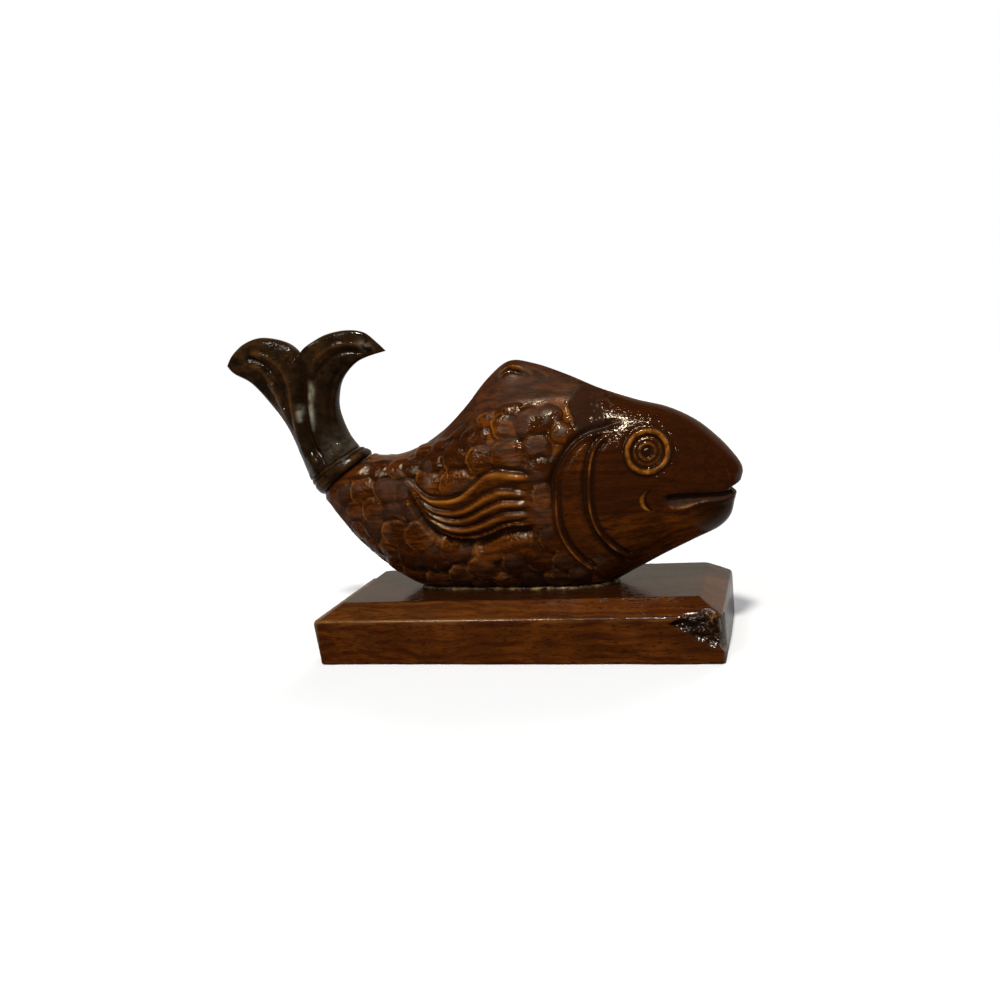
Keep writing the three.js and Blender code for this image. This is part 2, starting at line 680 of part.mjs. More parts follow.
function screw() {
  const slot = new THREE.BoxGeometry(SCREW_HEAD * 1.2, SLOT_WIDTH, 2 * SLOT_DEPTH);
  return screwShape(0).subtract(solidOf(slot.translate(0, 0, SCREW_RECESS)));
}

// A rectangle with rounded corners at a height, as a loop.
function plinthLoop(length, depth, height) {
  const outline = new THREE.Shape();
  const right = length / 2;
  const back = depth / 2;
  const corner = PLINTH_CORNER;
  outline.absarc(right - corner, back - corner, corner, 0, Math.PI / 2);
  outline.absarc(corner - right, back - corner, corner, Math.PI / 2, Math.PI);
  outline.absarc(corner - right, corner - back, corner, Math.PI, 1.5 * Math.PI);
  outline.absarc(right - corner, corner - back, corner, 1.5 * Math.PI, 2 * Math.PI);
  const points = outline.getPoints(4);
  return points.slice(0, -1).map((point) => [point.x, point.y, height]);
}

function plinth() {
  const ridge = PLINTH_HEIGHT - CHAMFER_DROP;
  const block = loft([
    plinthLoop(PLINTH_LENGTH - 2 * PLINTH_UNDERCUT, PLINTH_DEPTH - 2 * PLINTH_UNDERCUT, 0),
    plinthLoop(PLINTH_LENGTH, PLINTH_DEPTH, ridge),
    plinthLoop(PLINTH_LENGTH - 2 * CHAMFER_INSET, PLINTH_DEPTH - 2 * CHAMFER_INSET, PLINTH_HEIGHT),
  ]);
  return screwPlaces.reduce(
    (solid, x) => solid.subtract(screwShape(SCREW_CLEARANCE).translate([x, 0, 0])),
    block,
  );
}

// Materials and assembly

const redWood = () => new THREE.MeshStandardMaterial({ color: 0x6b3317, roughness: 0.35, metalness: 0 });
const darkWood = () => new THREE.MeshStandardMaterial({ color: 0x33241a, roughness: 0.35, metalness: 0 });
const plankWood = () => new THREE.MeshStandardMaterial({ color: 0x7a3d1a, roughness: 0.3, metalness: 0 });
const paleWood = () => new THREE.MeshStandardMaterial({ color: 0xc79a63, roughness: 0.8, metalness: 0 });
const steel = () => new THREE.MeshStandardMaterial({ color: 0xb0b0ac, roughness: 0.4, metalness: 1 });

const fish = new THREE.Group();
fish.position.z = PLINTH_HEIGHT;
fish.add(meshOf("fish_body", fishBody(), redWood()));
fish.add(meshOf("tail_collar", tailCollar(), darkWood()));
fish.add(meshOf("tail_fin", tailFin(), darkWood()));
fish.add(meshOf("tail_dowel", tailDowel(), paleWood()));

const figurine = new THREE.Group();
figurine.add(meshOf("plinth", plinth(), plankWood()));
["plinth_screw_front", "plinth_screw_rear"].forEach((name, i) => {
  const mesh = meshOf(name, screw(), steel());
  mesh.position.x = screwPlaces[i];
  figurine.add(mesh);
});
figurine.add(fish);

export default figurine;
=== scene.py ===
"""Looks of a carved wooden fish on its plinth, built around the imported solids."""
import math

import bmesh
import bpy
import numpy as np
from bpy.props import FloatProperty, FloatVectorProperty, PointerProperty
from mathutils import Matrix, Vector


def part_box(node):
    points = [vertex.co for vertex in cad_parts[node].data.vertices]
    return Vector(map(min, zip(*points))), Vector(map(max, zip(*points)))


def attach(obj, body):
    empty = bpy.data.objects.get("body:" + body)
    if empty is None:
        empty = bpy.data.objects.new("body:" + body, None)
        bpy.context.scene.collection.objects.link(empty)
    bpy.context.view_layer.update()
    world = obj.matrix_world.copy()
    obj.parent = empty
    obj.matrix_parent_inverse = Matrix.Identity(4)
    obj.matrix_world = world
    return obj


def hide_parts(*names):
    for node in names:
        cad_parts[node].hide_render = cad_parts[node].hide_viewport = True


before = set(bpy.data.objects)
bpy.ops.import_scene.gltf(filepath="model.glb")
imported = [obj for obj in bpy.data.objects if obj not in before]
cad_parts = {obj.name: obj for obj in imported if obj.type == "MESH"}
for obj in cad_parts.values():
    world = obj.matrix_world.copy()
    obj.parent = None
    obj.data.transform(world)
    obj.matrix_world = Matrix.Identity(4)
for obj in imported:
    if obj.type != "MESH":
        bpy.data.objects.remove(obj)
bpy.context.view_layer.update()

bl_info = {
    "name": "Carved fish on a plinth",
    "version": (1, 0, 0),
    "blender": (4, 5, 0),
    "location": "View3D > Sidebar > Fish",
    "description": "Builds the carving, the plinth and the finishes of a wooden fish ornament",
    "category": "Add Mesh",
}

MM = 0.001
PLINTH_LOW, PLINTH_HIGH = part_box("plinth")
PLINTH_SIZE = PLINTH_HIGH - PLINTH_LOW
RIDGE_ROUND = 1.4 * MM
CORNER_EASE = 2 * MM
PLINTH_STEPS = (236, 100)
MERGE_WITHIN = 2e-6
FLAT_WITHIN = 1e-7

# Body outline: shares of the body's length and height for belly and back, share of the half width,
# crown (how sharp the back is) and waist (how high the widest place lies).
BODY_RIBS = (
    (-0.466, 0.325, -0.326, 0.621, 0.654, 1.05, 0.50),
    (-0.416, 0.211, -0.275, 0.631, 0.751, 1.15, 0.48),
    (-0.348, 0.099, -0.225, 0.665, 0.839, 1.30, 0.46),
    (-0.281, 0.016, -0.169, 0.722, 0.908, 1.50, 0.44),
    (-0.213, -0.013, -0.112, 0.814, 0.954, 1.70, 0.42),
    (-0.129, -0.025, -0.051, 0.928, 0.982, 1.85, 0.40),
    (-0.045, -0.033, 0.006, 0.998, 0.995, 1.90, 0.39),
    (0.045, -0.039, 0.067, 0.979, 1.000, 1.85, 0.39),
    (0.124, -0.039, 0.140, 0.923, 0.986, 1.70, 0.40),
    (0.202, -0.010, 0.219, 0.851, 0.945, 1.45, 0.42),
    (0.281, 0.062, 0.298, 0.794, 0.871, 1.20, 0.45),
    (0.354, 0.128, 0.371, 0.753, 0.770, 1.10, 0.47),
    (0.421, 0.184, 0.433, 0.691, 0.654, 1.05, 0.49),
    (0.472, 0.227, 0.483, 0.608, 0.521, 1.00, 0.50),
    (0.498, 0.271, 0.517, 0.531, 0.378, 1.00, 0.50),
    (0.508, 0.320, 0.530, 0.490, 0.240, 1.00, 0.50),
    (0.512, 0.363, 0.533, 0.459, 0.120, 1.00, 0.50),
)
STALK_CENTRE = (-0.44, 0.538)
STALK_TILT = math.radians(36)
STALK_HEIGHT = 30.4 * MM
STALK_WIDTH = 24 * MM
BODY_ROWS = 326
FLANK_COLUMNS = 152
FINE_STEPS = 4001
GIRTH_STEPS = 2001
GIRTH_RIB = 0.45
HEAD_CLOSER = 0.55
TRUNK_CLOSER = 0.1
SEAT_SINK = 0.2 * MM
NEAR_SEED = 3
FAR_SEED = 40
DARK_LEAST = -0.3

# Carving on the flank, drawn in millimetres on a body of the drawn length and height, from the seat up.
DRAWN_LENGTH = 178
DRAWN_HEIGHT = 97
EYE = (58.7, 57.0)
EYE_RING = 8.0
GILL_OUTER = (
    (50, 66.6), (46, 67), (42, 66.2), (36, 65), (31, 62.5), (27, 58.5), (24, 54), (22, 50), (21.3, 46),
    (21, 40), (20.8, 35), (21, 30), (22, 25), (24, 20), (27, 15), (30, 11.5), (33, 8.5),
)
GILL_INNER = (
    (42, 64.2), (38.6, 61), (36.6, 57), (35.4, 52), (34.7, 46), (34.5, 40), (34.7, 35), (35.6, 30),
    (37.6, 25), (40.5, 20.7), (44.2, 16.6), (48.8, 12.5),
)
GILL_FOLD = (
    (36.5, 60.5), (33, 55), (30.8, 49), (30.3, 43), (30.6, 37), (32, 31), (34.3, 25.5), (37.5, 21),
    (40.5, 17.8), (43.5, 14.6),
)
HEAD_LINE = (
    (40, 92), (33, 86), (29, 81.5), (27.9, 78.5), (27.8, 75.5), (29.2, 72.3), (30.5, 68.5), (27.5, 63),
    (24, 57.5), (21, 50), (20.1, 43), (19.8, 35), (20.2, 29), (21.4, 24), (23.4, 19.5), (26.4, 14.5),
    (29.6, 10.6), (33, 7.3), (38, 0), (42, -7),
)
FIN_TOP = (
    (-46, 53), (-40.5, 47), (-37, 44), (-33, 41.9), (-28, 41.5), (-24, 41.8), (-20, 43), (-16, 45.5),
    (-12, 48.5), (-8, 51), (-3, 52.3), (0, 52), (5, 51), (9.5, 50), (16, 48.5),
)
FIN_BOTTOM = (
    (-46, 50), (-39.5, 40), (-36, 34.5), (-32, 30.5), (-27, 27.5), (-22, 26), (-18, 25.7), (-13, 26),
    (-8, 27.5), (-3, 29.5), (2, 30.6), (7, 30.7), (16, 30.5),
)
FIN_CRESTS = (0, 0.355, 0.56, 0.785, 1)
MOUTH_UPPER = ((63, 37.6), (66, 39), (72, 39.1), (80, 38.7), (88, 38.6), (97, 40.5))
MOUTH_LOWER = (
    (63, 37), (66, 34.6), (69, 33.3), (72, 33.6), (76, 34.6), (80, 35.2), (84, 35.2), (88, 35.4),
    (97, 37.5),
)
MOUTH_PARTING = (88.3, 39.2)
LIP_LINE = (
    (24, 88), (28, 90.2), (31, 91.2), (34, 91.6), (37, 91.2), (38.4, 90.2), (39.3, 89.4), (40.2, 90.6),
    (41.2, 93), (42.4, 95), (46, 99), (60, 110),
)
LIP_SOFT = 0.35
LIPS_FROM = (84, 24)
NOSE_SHARE = 0.05
CHEEK_CUT = (59.4, 37.4)
DORSAL_BASE = (
    (-70, 90), (-45, 72), (-30, 66.5), (-20, 72), (-10, 77), (0, 79.5), (10, 80.5), (20, 80.5), (30, 79),
    (40, 77),
)
DORSAL_RAYS = (
    ((-3, 90), (2, 93), (8, 91)),
    ((0, 93.5), (6, 92), (12, 89.5)),
    ((4, 96.5), (11, 92), (18, 88)),
    ((13, 95), (20, 91), (27, 87.5)),
)
SNOUT_CREASE = ((87, 49), (88.8, 46), (89.4, 42.5))

# Scales from back to belly and head to tail: place along, height and radius.
SCALES = (
    (20, 73.5, 5.4), (11.5, 71.5, 7.3), (0.5, 71, 6.3), (-8.5, 75, 4.8), (-13.5, 67, 6.4), (-22, 70.5, 5),
    (3, 78, 4.4), (-30, 65, 5.6), (24.5, 67, 5.2), (13.5, 61, 6.7), (1, 59.5, 7.1), (-10.5, 58, 6.3),
    (-22, 60.5, 7.1), (-33.5, 57.5, 6.3), (-39, 62, 5), (-42.5, 56, 5.6), (-49, 55.5, 6),
    (-57.5, 55.5, 5.9), (-67.5, 55, 5.6), (15.5, 51.5, 7.2), (-23, 48.8, 7.2), (-36, 49.5, 6.3),
    (-45, 46, 6), (-54.5, 46, 6.4), (-66, 46.5, 6.4), (-75, 44, 5.6), (16, 42, 5.6), (-43, 38, 5),
    (-51, 36.5, 5.7), (-61, 39, 6.3), (-70.5, 37, 6), (14.2, 33, 7.2), (18, 23.5, 6.2), (3.5, 24, 7.8),
    (-9.5, 21, 6.8), (-25, 20, 7.2), (-40, 26.5, 7), (-51.5, 28, 6.5), (-62, 30, 6.3), (-70.5, 29, 5.2),
    (23, 14, 5.8), (12.5, 14.5, 6.8), (1, 13, 6.7), (-14.5, 11, 6.8), (-34, 15.5, 7), (-45.5, 17.5, 6.8),
    (-55.5, 20, 6.3), (-64, 22, 5.6), (27, 6, 5.2), (17, 5, 6.4), (6, 4, 6.2), (-5, 3.5, 6.3),
    (-24, 8, 6.6), (-17, 2, 5), (-36, 5.5, 6.4), (-47, 8.5, 6.2), (-56, 12.5, 5.8),
)

# Tail outline, in shares of its width and height from the middle of its foot.
NEAR_EDGE = ((0.101, 0.228), (0.063, 0.408), (0.08, 0.55), (0.121, 0.654), (0.196, 0.744), (0.274, 0.787))
NEAR_TIP = (0.394, 0.82)
FAR_EDGE = ((-0.208, 0.103), (-0.26, 0.288), (-0.346, 0.466), (-0.465, 0.655), (-0.575, 0.745))
FAR_TIP = (-0.618, 0.81)
NEAR_LOBE = ((-0.064, 0.919), (0.035, 0.979), (0.161, 0.999), (0.27, 0.972), (0.345, 0.888))
FAR_LOBE = ((-0.57, 0.893), (-0.48, 0.972), (-0.36, 1.002), (-0.21, 0.949))
NOTCH = (-0.123, 0.846)
COLLAR_LENGTH = 7.2 * MM
COLLAR_LEAN = math.radians(136)
COLLAR_ROWS = 44
COLLAR_COLUMNS = 220
GLUE_GAP = 0.3 * MM
GLUE_REACH = 1.0 * MM
FOOT_TILT = math.radians(30.5)
FOOT_HEIGHT = 27.6 * MM
FOOT_WIDTH = 23 * MM
BLADE_WIDTH = 9 * MM
TAIL_ROWS = 200
TAIL_COLUMNS = 190

# Cuts on the tail, and pale streaks painted as sheen, in millimetres from the middle of its foot.
TAIL_SPLIT = ((-9.4, 49.8), (-8.4, 39), (-9.0, 29), (-8.2, 17.8), (-5.6, 9.2), (-2.5, 4.5), (0, -1))
TAIL_RIDGES = (
    ((-3.4, 40), (-2.2, 45.8), (4.7, 50.9), (13.8, 52.3), (22.4, 50.6), (27.4, 48.8)),
    ((-12.5, 14), (-14.3, 23.4), (-15.7, 36.9), (-20.3, 45.6), (-26.9, 50.5), (-34.8, 52)),
    ((-16, 17), (-20.4, 28.3), (-24.6, 37.5), (-29.2, 44), (-37.9, 48.1)),
)
TAIL_GROOVES = (
    ((-3.5, 31), (-1.5, 40.8), (6, 47.3), (13.4, 49.1), (22, 47.6)),
    ((-14.2, 15), (-17.2, 26), (-20, 37), (-24.6, 44.6), (-31, 49), (-37.5, 50.3)),
    ((13, 45), (6.5, 39), (4, 33), (2.5, 25.6), (2.9, 15.5), (6, 7)),
)
TAIL_NICKS = ((-25.5, 39.5), (-22.6, 33.8), (-19.5, 28), (-17.5, 23))
# Pale streaks beside the split, painted as sheen.
PAINTED_TAIL_SHEEN = (
    ((-3.7, 38.5), (-4.7, 30.6), (-5.1, 23.3), (-4.2, 14.9)),
    ((-11, 29), (-11.2, 24), (-11, 19.5)),
)

# Bead of glue: where the seat's outline is read, the least half width there, and the bead's own steps.
SEAT_LEVEL = 0.35 * MM
SEAT_LEAST = 0.8 * MM
BEAD_LIFT = 0.15 * MM
BEAD_STEPS = 420
BEAD_SIDES = 12

# Fineness of the noise in the finishes.
NICKS_PER_METRE = 850.0
RING_WEAR_PER_METRE = 380.0
SPECKS_PER_METRE = 620.0

# Stage: the camera's place, its yaw, pitch and roll in degrees, its lens, tints of the light, and the
# sheets behind and below.
CAMERA_PLACE = (0.1152, -0.4274, 0.1427)
CAMERA_TURN = (16.17, 10.25, -5.56)
CAMERA_LENS = 37.44
SENSOR_WIDTH = 36
LAMP_COLOUR = (1, 0.98, 0.94)
ROOM_COLOUR = (1, 1.06, 1.17)
MIRRORED_COLOUR = (1, 0.88, 0.72)
SHEET_POINTS = 9
FLOOR_CORNERS = ((-4, -4, 0), (4, -4, 0), (4, 4, 0), (-4, 4, 0))
BACKDROP_CORNERS = ((-3, 1.3, -0.05), (3, 1.3, -0.05), (3, 1.3, 2.6), (-3, 1.3, 2.6))


def length_setting(name, description, default, least=0.01):
    """A property for a length in metres."""
    return FloatProperty(name=name, description=description, default=default, min=least, unit="LENGTH")


def colour_setting(name, description, default):
    """A property for a colour."""
    return FloatVectorProperty(
        name=name, description=description, default=default, min=0, max=1, subtype="COLOR")


def strength_setting(name, description, default):
    """A property for how strong a light is."""
    return FloatProperty(name=name, description=description, default=default, min=0)


class FishSizes(bpy.types.PropertyGroup):
    """Sizes of the ornament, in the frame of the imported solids."""

    plinth_length: length_setting("Plinth length", "Length of the plinth along the fish", PLINTH_SIZE.x)
    plinth_depth: length_setting("Plinth depth", "Depth of the plinth across the fish", PLINTH_SIZE.y)
    plinth_height: length_setting("Plinth height", "Thickness of the plank", PLINTH_SIZE.z)
    chamfer_inset: length_setting(
        "Chamfer inset", "How far the chamfer reaches in over the top", 9.5 * MM, 0)
    chamfer_drop: length_setting("Chamfer drop", "How far the chamfer reaches down the sides", 6 * MM, 0)
    body_length: length_setting(
        "Body length", "Drawn length that the body's shares are taken of", DRAWN_LENGTH * MM)
    body_height: length_setting("Body height", "Height of the body above its seat", DRAWN_HEIGHT * MM)
    body_width: length_setting("Body width", "Greatest width of the body across its flanks", 43.4 * MM)
    tail_width: length_setting("Tail width", "Width of the tail from tip to tip", 76.8 * MM)
    tail_height: length_setting("Tail height", "Height of the tail above its foot", 58.4 * MM)
    scale_depth: length_setting("Scale depth", "Depth of the cuts between the scales", 1.1 * MM, 0)
    rim_height: length_setting("Rim height", "Height of the ridges along the gill cover", 0.9 * MM, 0)
    fin_depth: length_setting("Fin depth", "Depth of the flutes in the side fin", 1.75 * MM, 0)
    glue_bead: length_setting(
        "Glue bead", "Radius of the varnished bead where the fish sits on the plinth", 0.9 * MM, 0.1 * MM)


class FishColours(bpy.types.PropertyGroup):
    """Colours of the woods and their cuts."""

    flank_dark: colour_setting("Flank dark", "Dark streaks of the body's wood", (0.029, 0.0070, 0.0012))
    flank_red: colour_setting(
        "Flank red", "Light streaks of the body's wood on the head", (0.056, 0.0118, 0.0014))
    flank_light: colour_setting(
        "Flank light", "Light streaks of the body's wood among the scales and on the jaw",
        (0.180, 0.043, 0.0035))
    gold: colour_setting("Chisel gold", "Fresh wood where the chisel has cut", (0.38, 0.125, 0.013))
    # Besides real stain and pores, this colour paints shade in the hollows, cuts, grooves and slots and on
    # the plinth's top.
    groove: colour_setting("Groove stain and shade", "Stain that has gathered in the cuts", (0.014, 0.005, 0.002))
    # Besides worn varnish, this colour paints sheen streaks on the tail and highlights on two scale facets.
    scuff_and_sheen: colour_setting("Scuff and sheen", "Pale places where the varnish is worn", (0.26, 0.24, 0.17))
    tail_dark: colour_setting("Tail dark", "Dark streaks of the tail and collar", (0.009, 0.0050, 0.0022))
    tail_light: colour_setting("Tail light", "Light streaks of the tail and collar", (0.043, 0.0185, 0.005))
    tail_gold: colour_setting("Tail gold", "Brown wood along the tail's ridges", (0.115, 0.042, 0.010))
    plank_dark: colour_setting("Plank dark", "Dark grain of the plinth", (0.044, 0.0088, 0.0008))
    plank_light: colour_setting("Plank light", "Light grain of the plinth", (0.125, 0.031, 0.0026))
    # Besides wear on the ridge, this colour paints light on the upward chamfer.
    plank_gold_wear_and_light: colour_setting("Plank gold", "Worn wood along the plinth's ridge", (0.2, 0.078, 0.014))
    # The sawn ends' colours are grey end grain with a painted reflection of the bright surroundings over it.
    sawn_dark_and_sheen: colour_setting("Sawn dark", "Dark patches of the plinth's sawn ends", (0.11, 0.088, 0.052))
    sawn_light_and_sheen: colour_setting("Sawn light", "Light patches of the plinth's sawn ends", (0.2, 0.165, 0.1))
    knot_dark: colour_setting("Knot dark", "Black wood in the knot", (0.005, 0.004, 0.003))
    knot_light: colour_setting("Knot light", "Brown specks in the knot", (0.26, 0.11, 0.03))
    bead: colour_setting("Glue", "Clear places of the bead of glue", (0.45, 0.29, 0.12))
    dowel: colour_setting("Dowel", "Plain wood of the dowel", (0.42, 0.25, 0.11))
    steel: colour_setting("Steel", "Plain steel of the screws", (0.56, 0.55, 0.52))


class FishStage(bpy.types.PropertyGroup):
    """Strengths of the lights on the stage."""

    key_strength: strength_setting("Key light", "Strength of the soft key light from the front", 2.35)
    side_strength: strength_setting("Side light", "Strength of the soft light over the tail", 0.45)
    back_strength: strength_setting("Back light", "Strength of the broad light from behind", 1.0)
    room_light: strength_setting("Room light", "Light that comes from all round", 0.33)
    mirrored_white: strength_setting("Mirrored white", "How bright the backdrop is in reflections", 0.4)


# Curves and fields

def spline(points, share):
    """Uniform Catmull-Rom curve: a cubic between neighbouring points whose slope at each point is half the
    step from the point before it to the point after it, with the end points counted twice."""
    points = np.asarray(points, float)
    place = np.clip(np.asarray(share, float), 0, 1) * (len(points) - 1)
    start = np.minimum(place.astype(int), len(points) - 2)
    t = (place - start)[..., None]
    first = points[start]
    second = points[start + 1]
    leave = (second - points[np.maximum(start - 1, 0)]) / 2
    arrive = (points[np.minimum(start + 2, len(points) - 1)] - first) / 2
    cubic = (2 * first - 2 * second + leave + arrive) * t ** 3
    square = (3 * second - 3 * first - 2 * leave - arrive) * t ** 2
    return cubic + square + leave * t + first


def smooth(low, high, value):
    """Smooth step: 0 at low, 1 at high, and three times the square less twice the cube between them."""
    share = np.clip((value - low) / (high - low), 0, 1)
    return share * share * (3 - 2 * share)


def hump(value, width):
    """A bell of height 1: e to the power of minus the square of value over width."""
    return np.exp(-((value / width) ** 2))


def between(value, start, full, fading, end):
    """A smooth step up from start to full times a smooth step down from fading to end."""
    return smooth(start, full, value) * smooth(end, fading, value)


def mixed(first, second, share):
    """Straight mix: the first value plus a share of the way to the second."""
    return first + (second - first) * share


def line_at(points, along, steps=200):
    """A drawn line's second number where its first one is along: its spline read off between even steps."""
    return np.interp(along, *spline(points, np.linspace(0, 1, steps)).T)


def line_field(across, up, points, steps=60):
    """Distance from each place to the nearest step of a spline, positive on the left of its run, and the
    share of the run at which that nearest point lies."""
    run = spline(points, np.linspace(0, 1, steps + 1)).astype(np.float32)
    step = np.diff(run, axis=0)
    away_x = across.reshape(-1, 1).astype(np.float32) - run[:-1, 0]
    away_z = up.reshape(-1, 1).astype(np.float32) - run[:-1, 1]
    share = (away_x * step[:, 0] + away_z * step[:, 1]) / (step ** 2).sum(1)
    share = np.clip(share, 0, 1)
    gap = np.hypot(away_x - share * step[:, 0], away_z - share * step[:, 1])
    best = gap.argmin(1)
    rows = np.arange(len(best))
    turn = step[best, 0] * away_z[rows, best] - step[best, 1] * away_x[rows, best]
    signed = np.where(turn >= 0, 1, -1) * gap[rows, best]
    along = (best + share[rows, best]) / steps
    return signed.reshape(across.shape).astype(float), along.reshape(across.shape).astype(float)


def hashed(*numbers):
    """A fixed number from 0 to 1 for whole numbers: the fraction left of a large multiple of a sine."""
    total = sum(number * factor for number, factor in zip(numbers, (12.9898, 78.233, 37.719, 53.117)))
    return np.modf(np.abs(np.sin(total) * 43758.5453))[0]


def rough(places, size, seed=0):
    """Value noise from -1 to 1: fixed numbers on a lattice of a given size, blended by smooth steps."""
    scaled = np.asarray(places, float) / size
    cell = np.floor(scaled)
    part = scaled - cell
    part = part * part * (3 - 2 * part)
    total = np.zeros(scaled.shape[:-1])
    for corner in range(8):
        bits = np.array([corner & 1, corner >> 1 & 1, corner >> 2 & 1])
        weight = np.where(bits == 1, part, 1 - part).prod(-1)
        spot = cell + bits
        total += weight * hashed(spot[..., 0], spot[..., 1], spot[..., 2], np.full(total.shape, seed))
    return 2 * total - 1


def blurred(field, times):
    """A field averaged again and again with its neighbours on the grid, ends held."""
    for _ in range(times):
        padded = np.pad(field, 1, mode="edge")
        field = (2 * field + padded[:-2, 1:-1] + padded[2:, 1:-1] + padded[1:-1, :-2] + padded[1:-1, 2:]) / 6
    return field


# Meshes from grids

def grid_normals(grid):
    """Unit normals of a grid whose columns close on themselves: the cross product of its two slopes."""
    along = np.gradient(grid, axis=0)
    around = np.roll(grid, -1, axis=1) - np.roll(grid, 1, axis=1)
    normal = np.cross(around, along)
    return normal / np.maximum(np.linalg.norm(normal, axis=-1, keepdims=True), 1e-12)


def wall_faces(rows, columns):
    """Four-sided faces between neighbouring rows of a grid whose columns close on themselves."""
    start = np.arange(rows - 1)[:, None] * columns
    column = np.arange(columns)[None, :]
    following = (column + 1) % columns
    corners = (start + column, start + following, start + columns + following, start + columns + column)
    return np.stack(np.broadcast_arrays(*corners), -1).reshape(-1, 4)


def cap_faces(first, columns, pole, flip):
    """Triangles from one row of a closed grid to a pole."""
    column = np.arange(columns)
    following = (column + 1) % columns
    corners = (first + column, first + following, np.full(columns, pole))
    faces = np.stack(corners, -1)
    return faces[:, ::-1] if flip else faces


def make_piece(name, built, finish, node=None, caps=()):
    """Turns a closed grid of points and its masks into a mesh piece: faces between the rows, fans to a pole
    at the capped rows, all turned outwards by the sign of the volume, with doubles merged and the masks on
    the points."""
    grid, masks = built
    rows, columns, _ = grid.shape
    points = grid.reshape(-1, 3)
    faces = wall_faces(rows, columns)
    triangles = np.zeros((0, 3), int)
    values = {key: field.reshape(-1) for key, field in masks.items()}
    for row in caps:
        first = row % rows * columns
        triangles = np.concatenate([triangles, cap_faces(first, columns, len(points), row == 0)])
        points = np.concatenate([points, grid[row].mean(0)[None]])
        values = {key: np.append(field, masks[key][row].mean()) for key, field in values.items()}
    soup = points[np.concatenate([faces[:, [0, 1, 2]], faces[:, [0, 2, 3]], triangles])]
    volume = np.einsum("ij,ij->", soup[:, 0], np.cross(soup[:, 1], soup[:, 2]))
    if volume < 0:
        faces = faces[:, ::-1]
        triangles = triangles[:, ::-1]
    mesh = bpy.data.meshes.new(name)
    mesh.vertices.add(len(points))
    mesh.vertices.foreach_set("co", points.astype(np.float32).ravel())
    corners = np.concatenate([faces.ravel(), triangles.ravel()])
    mesh.loops.add(len(corners))
    mesh.loops.foreach_set("vertex_index", corners.astype(np.int32))
    starts = np.concatenate([np.arange(len(faces)) * 4, faces.size + np.arange(len(triangles)) * 3])
    mesh.polygons.add(len(starts))
    mesh.polygons.foreach_set("loop_start", starts.astype(np.int32))
    for key, field in values.items():
        mesh.attributes.new(key, "FLOAT", "POINT").data.foreach_set("value", field.astype(np.float32))
    mesh.update(calc_edges=True)
    shape = bmesh.new()
    shape.from_mesh(mesh)
    bmesh.ops.remove_doubles(shape, verts=shape.verts, dist=MERGE_WITHIN)
    bmesh.ops.dissolve_degenerate(shape, edges=shape.edges, dist=FLAT_WITHIN)
    shape.to_mesh(mesh)
    shape.free()
    mesh.shade_smooth()
    mesh.materials.append(finish)
    piece = bpy.data.objects.new(name, mesh)
    bpy.context.scene.collection.objects.link(piece)
    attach(piece, "root")
    if node:
        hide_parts(node)


# Plinth

def plinth_profile(sizes):
    """Rows of the plinth as inset from its outline and height: out from the middle of the underside, up the
    sides, over the worn ridge, up the chamfer and in over the top."""
    deep = sizes.plinth_depth / 2
    edge = sizes.plinth_height - sizes.chamfer_drop
    under = np.linspace(1, 0.02, 12) ** 1.5 * deep
    side = np.linspace(0.6 * MM, edge - RIDGE_ROUND, 32)
    bend = np.linspace(0, 1, 8)[1:-1]
    slope = np.linspace(0.13, 0.95, 20)
    top = sizes.chamfer_inset + np.linspace(0.02, 1, 44) ** 1.4 * (deep - sizes.chamfer_inset)
    round_inset = slope[0] * sizes.chamfer_inset * bend ** 2
    round_height = edge - RIDGE_ROUND * (1 - bend) ** 2 + slope[0] * sizes.chamfer_drop * bend ** 2
    inset = np.concatenate([under, 0 * side, round_inset, slope * sizes.chamfer_inset, top])
    chamfer = edge + slope * sizes.chamfer_drop
    height = np.concatenate([0 * under, side, round_height, chamfer, 0 * top + sizes.plinth_height])
    return inset, height


def plinth_outline(sizes):
    """The plinth's outline: a rectangle walked at an even pace, its corners eased by a circle."""
    half = np.array([sizes.plinth_length / 2, sizes.plinth_depth / 2])
    corners = half * ((-1, -1), (1, -1), (1, 1), (-1, 1), (-1, -1))
    sides = zip(corners, corners[1:], 2 * PLINTH_STEPS)
    outline = np.concatenate([np.linspace(*side, endpoint=False) for side in sides])
    inner = np.clip(outline, CORNER_EASE - half, half - CORNER_EASE)
    away = outline - inner
    reach = np.linalg.norm(away, axis=1, keepdims=True)
    return np.where(reach > CORNER_EASE, inner + away * CORNER_EASE / np.maximum(reach, 1e-9), outline)


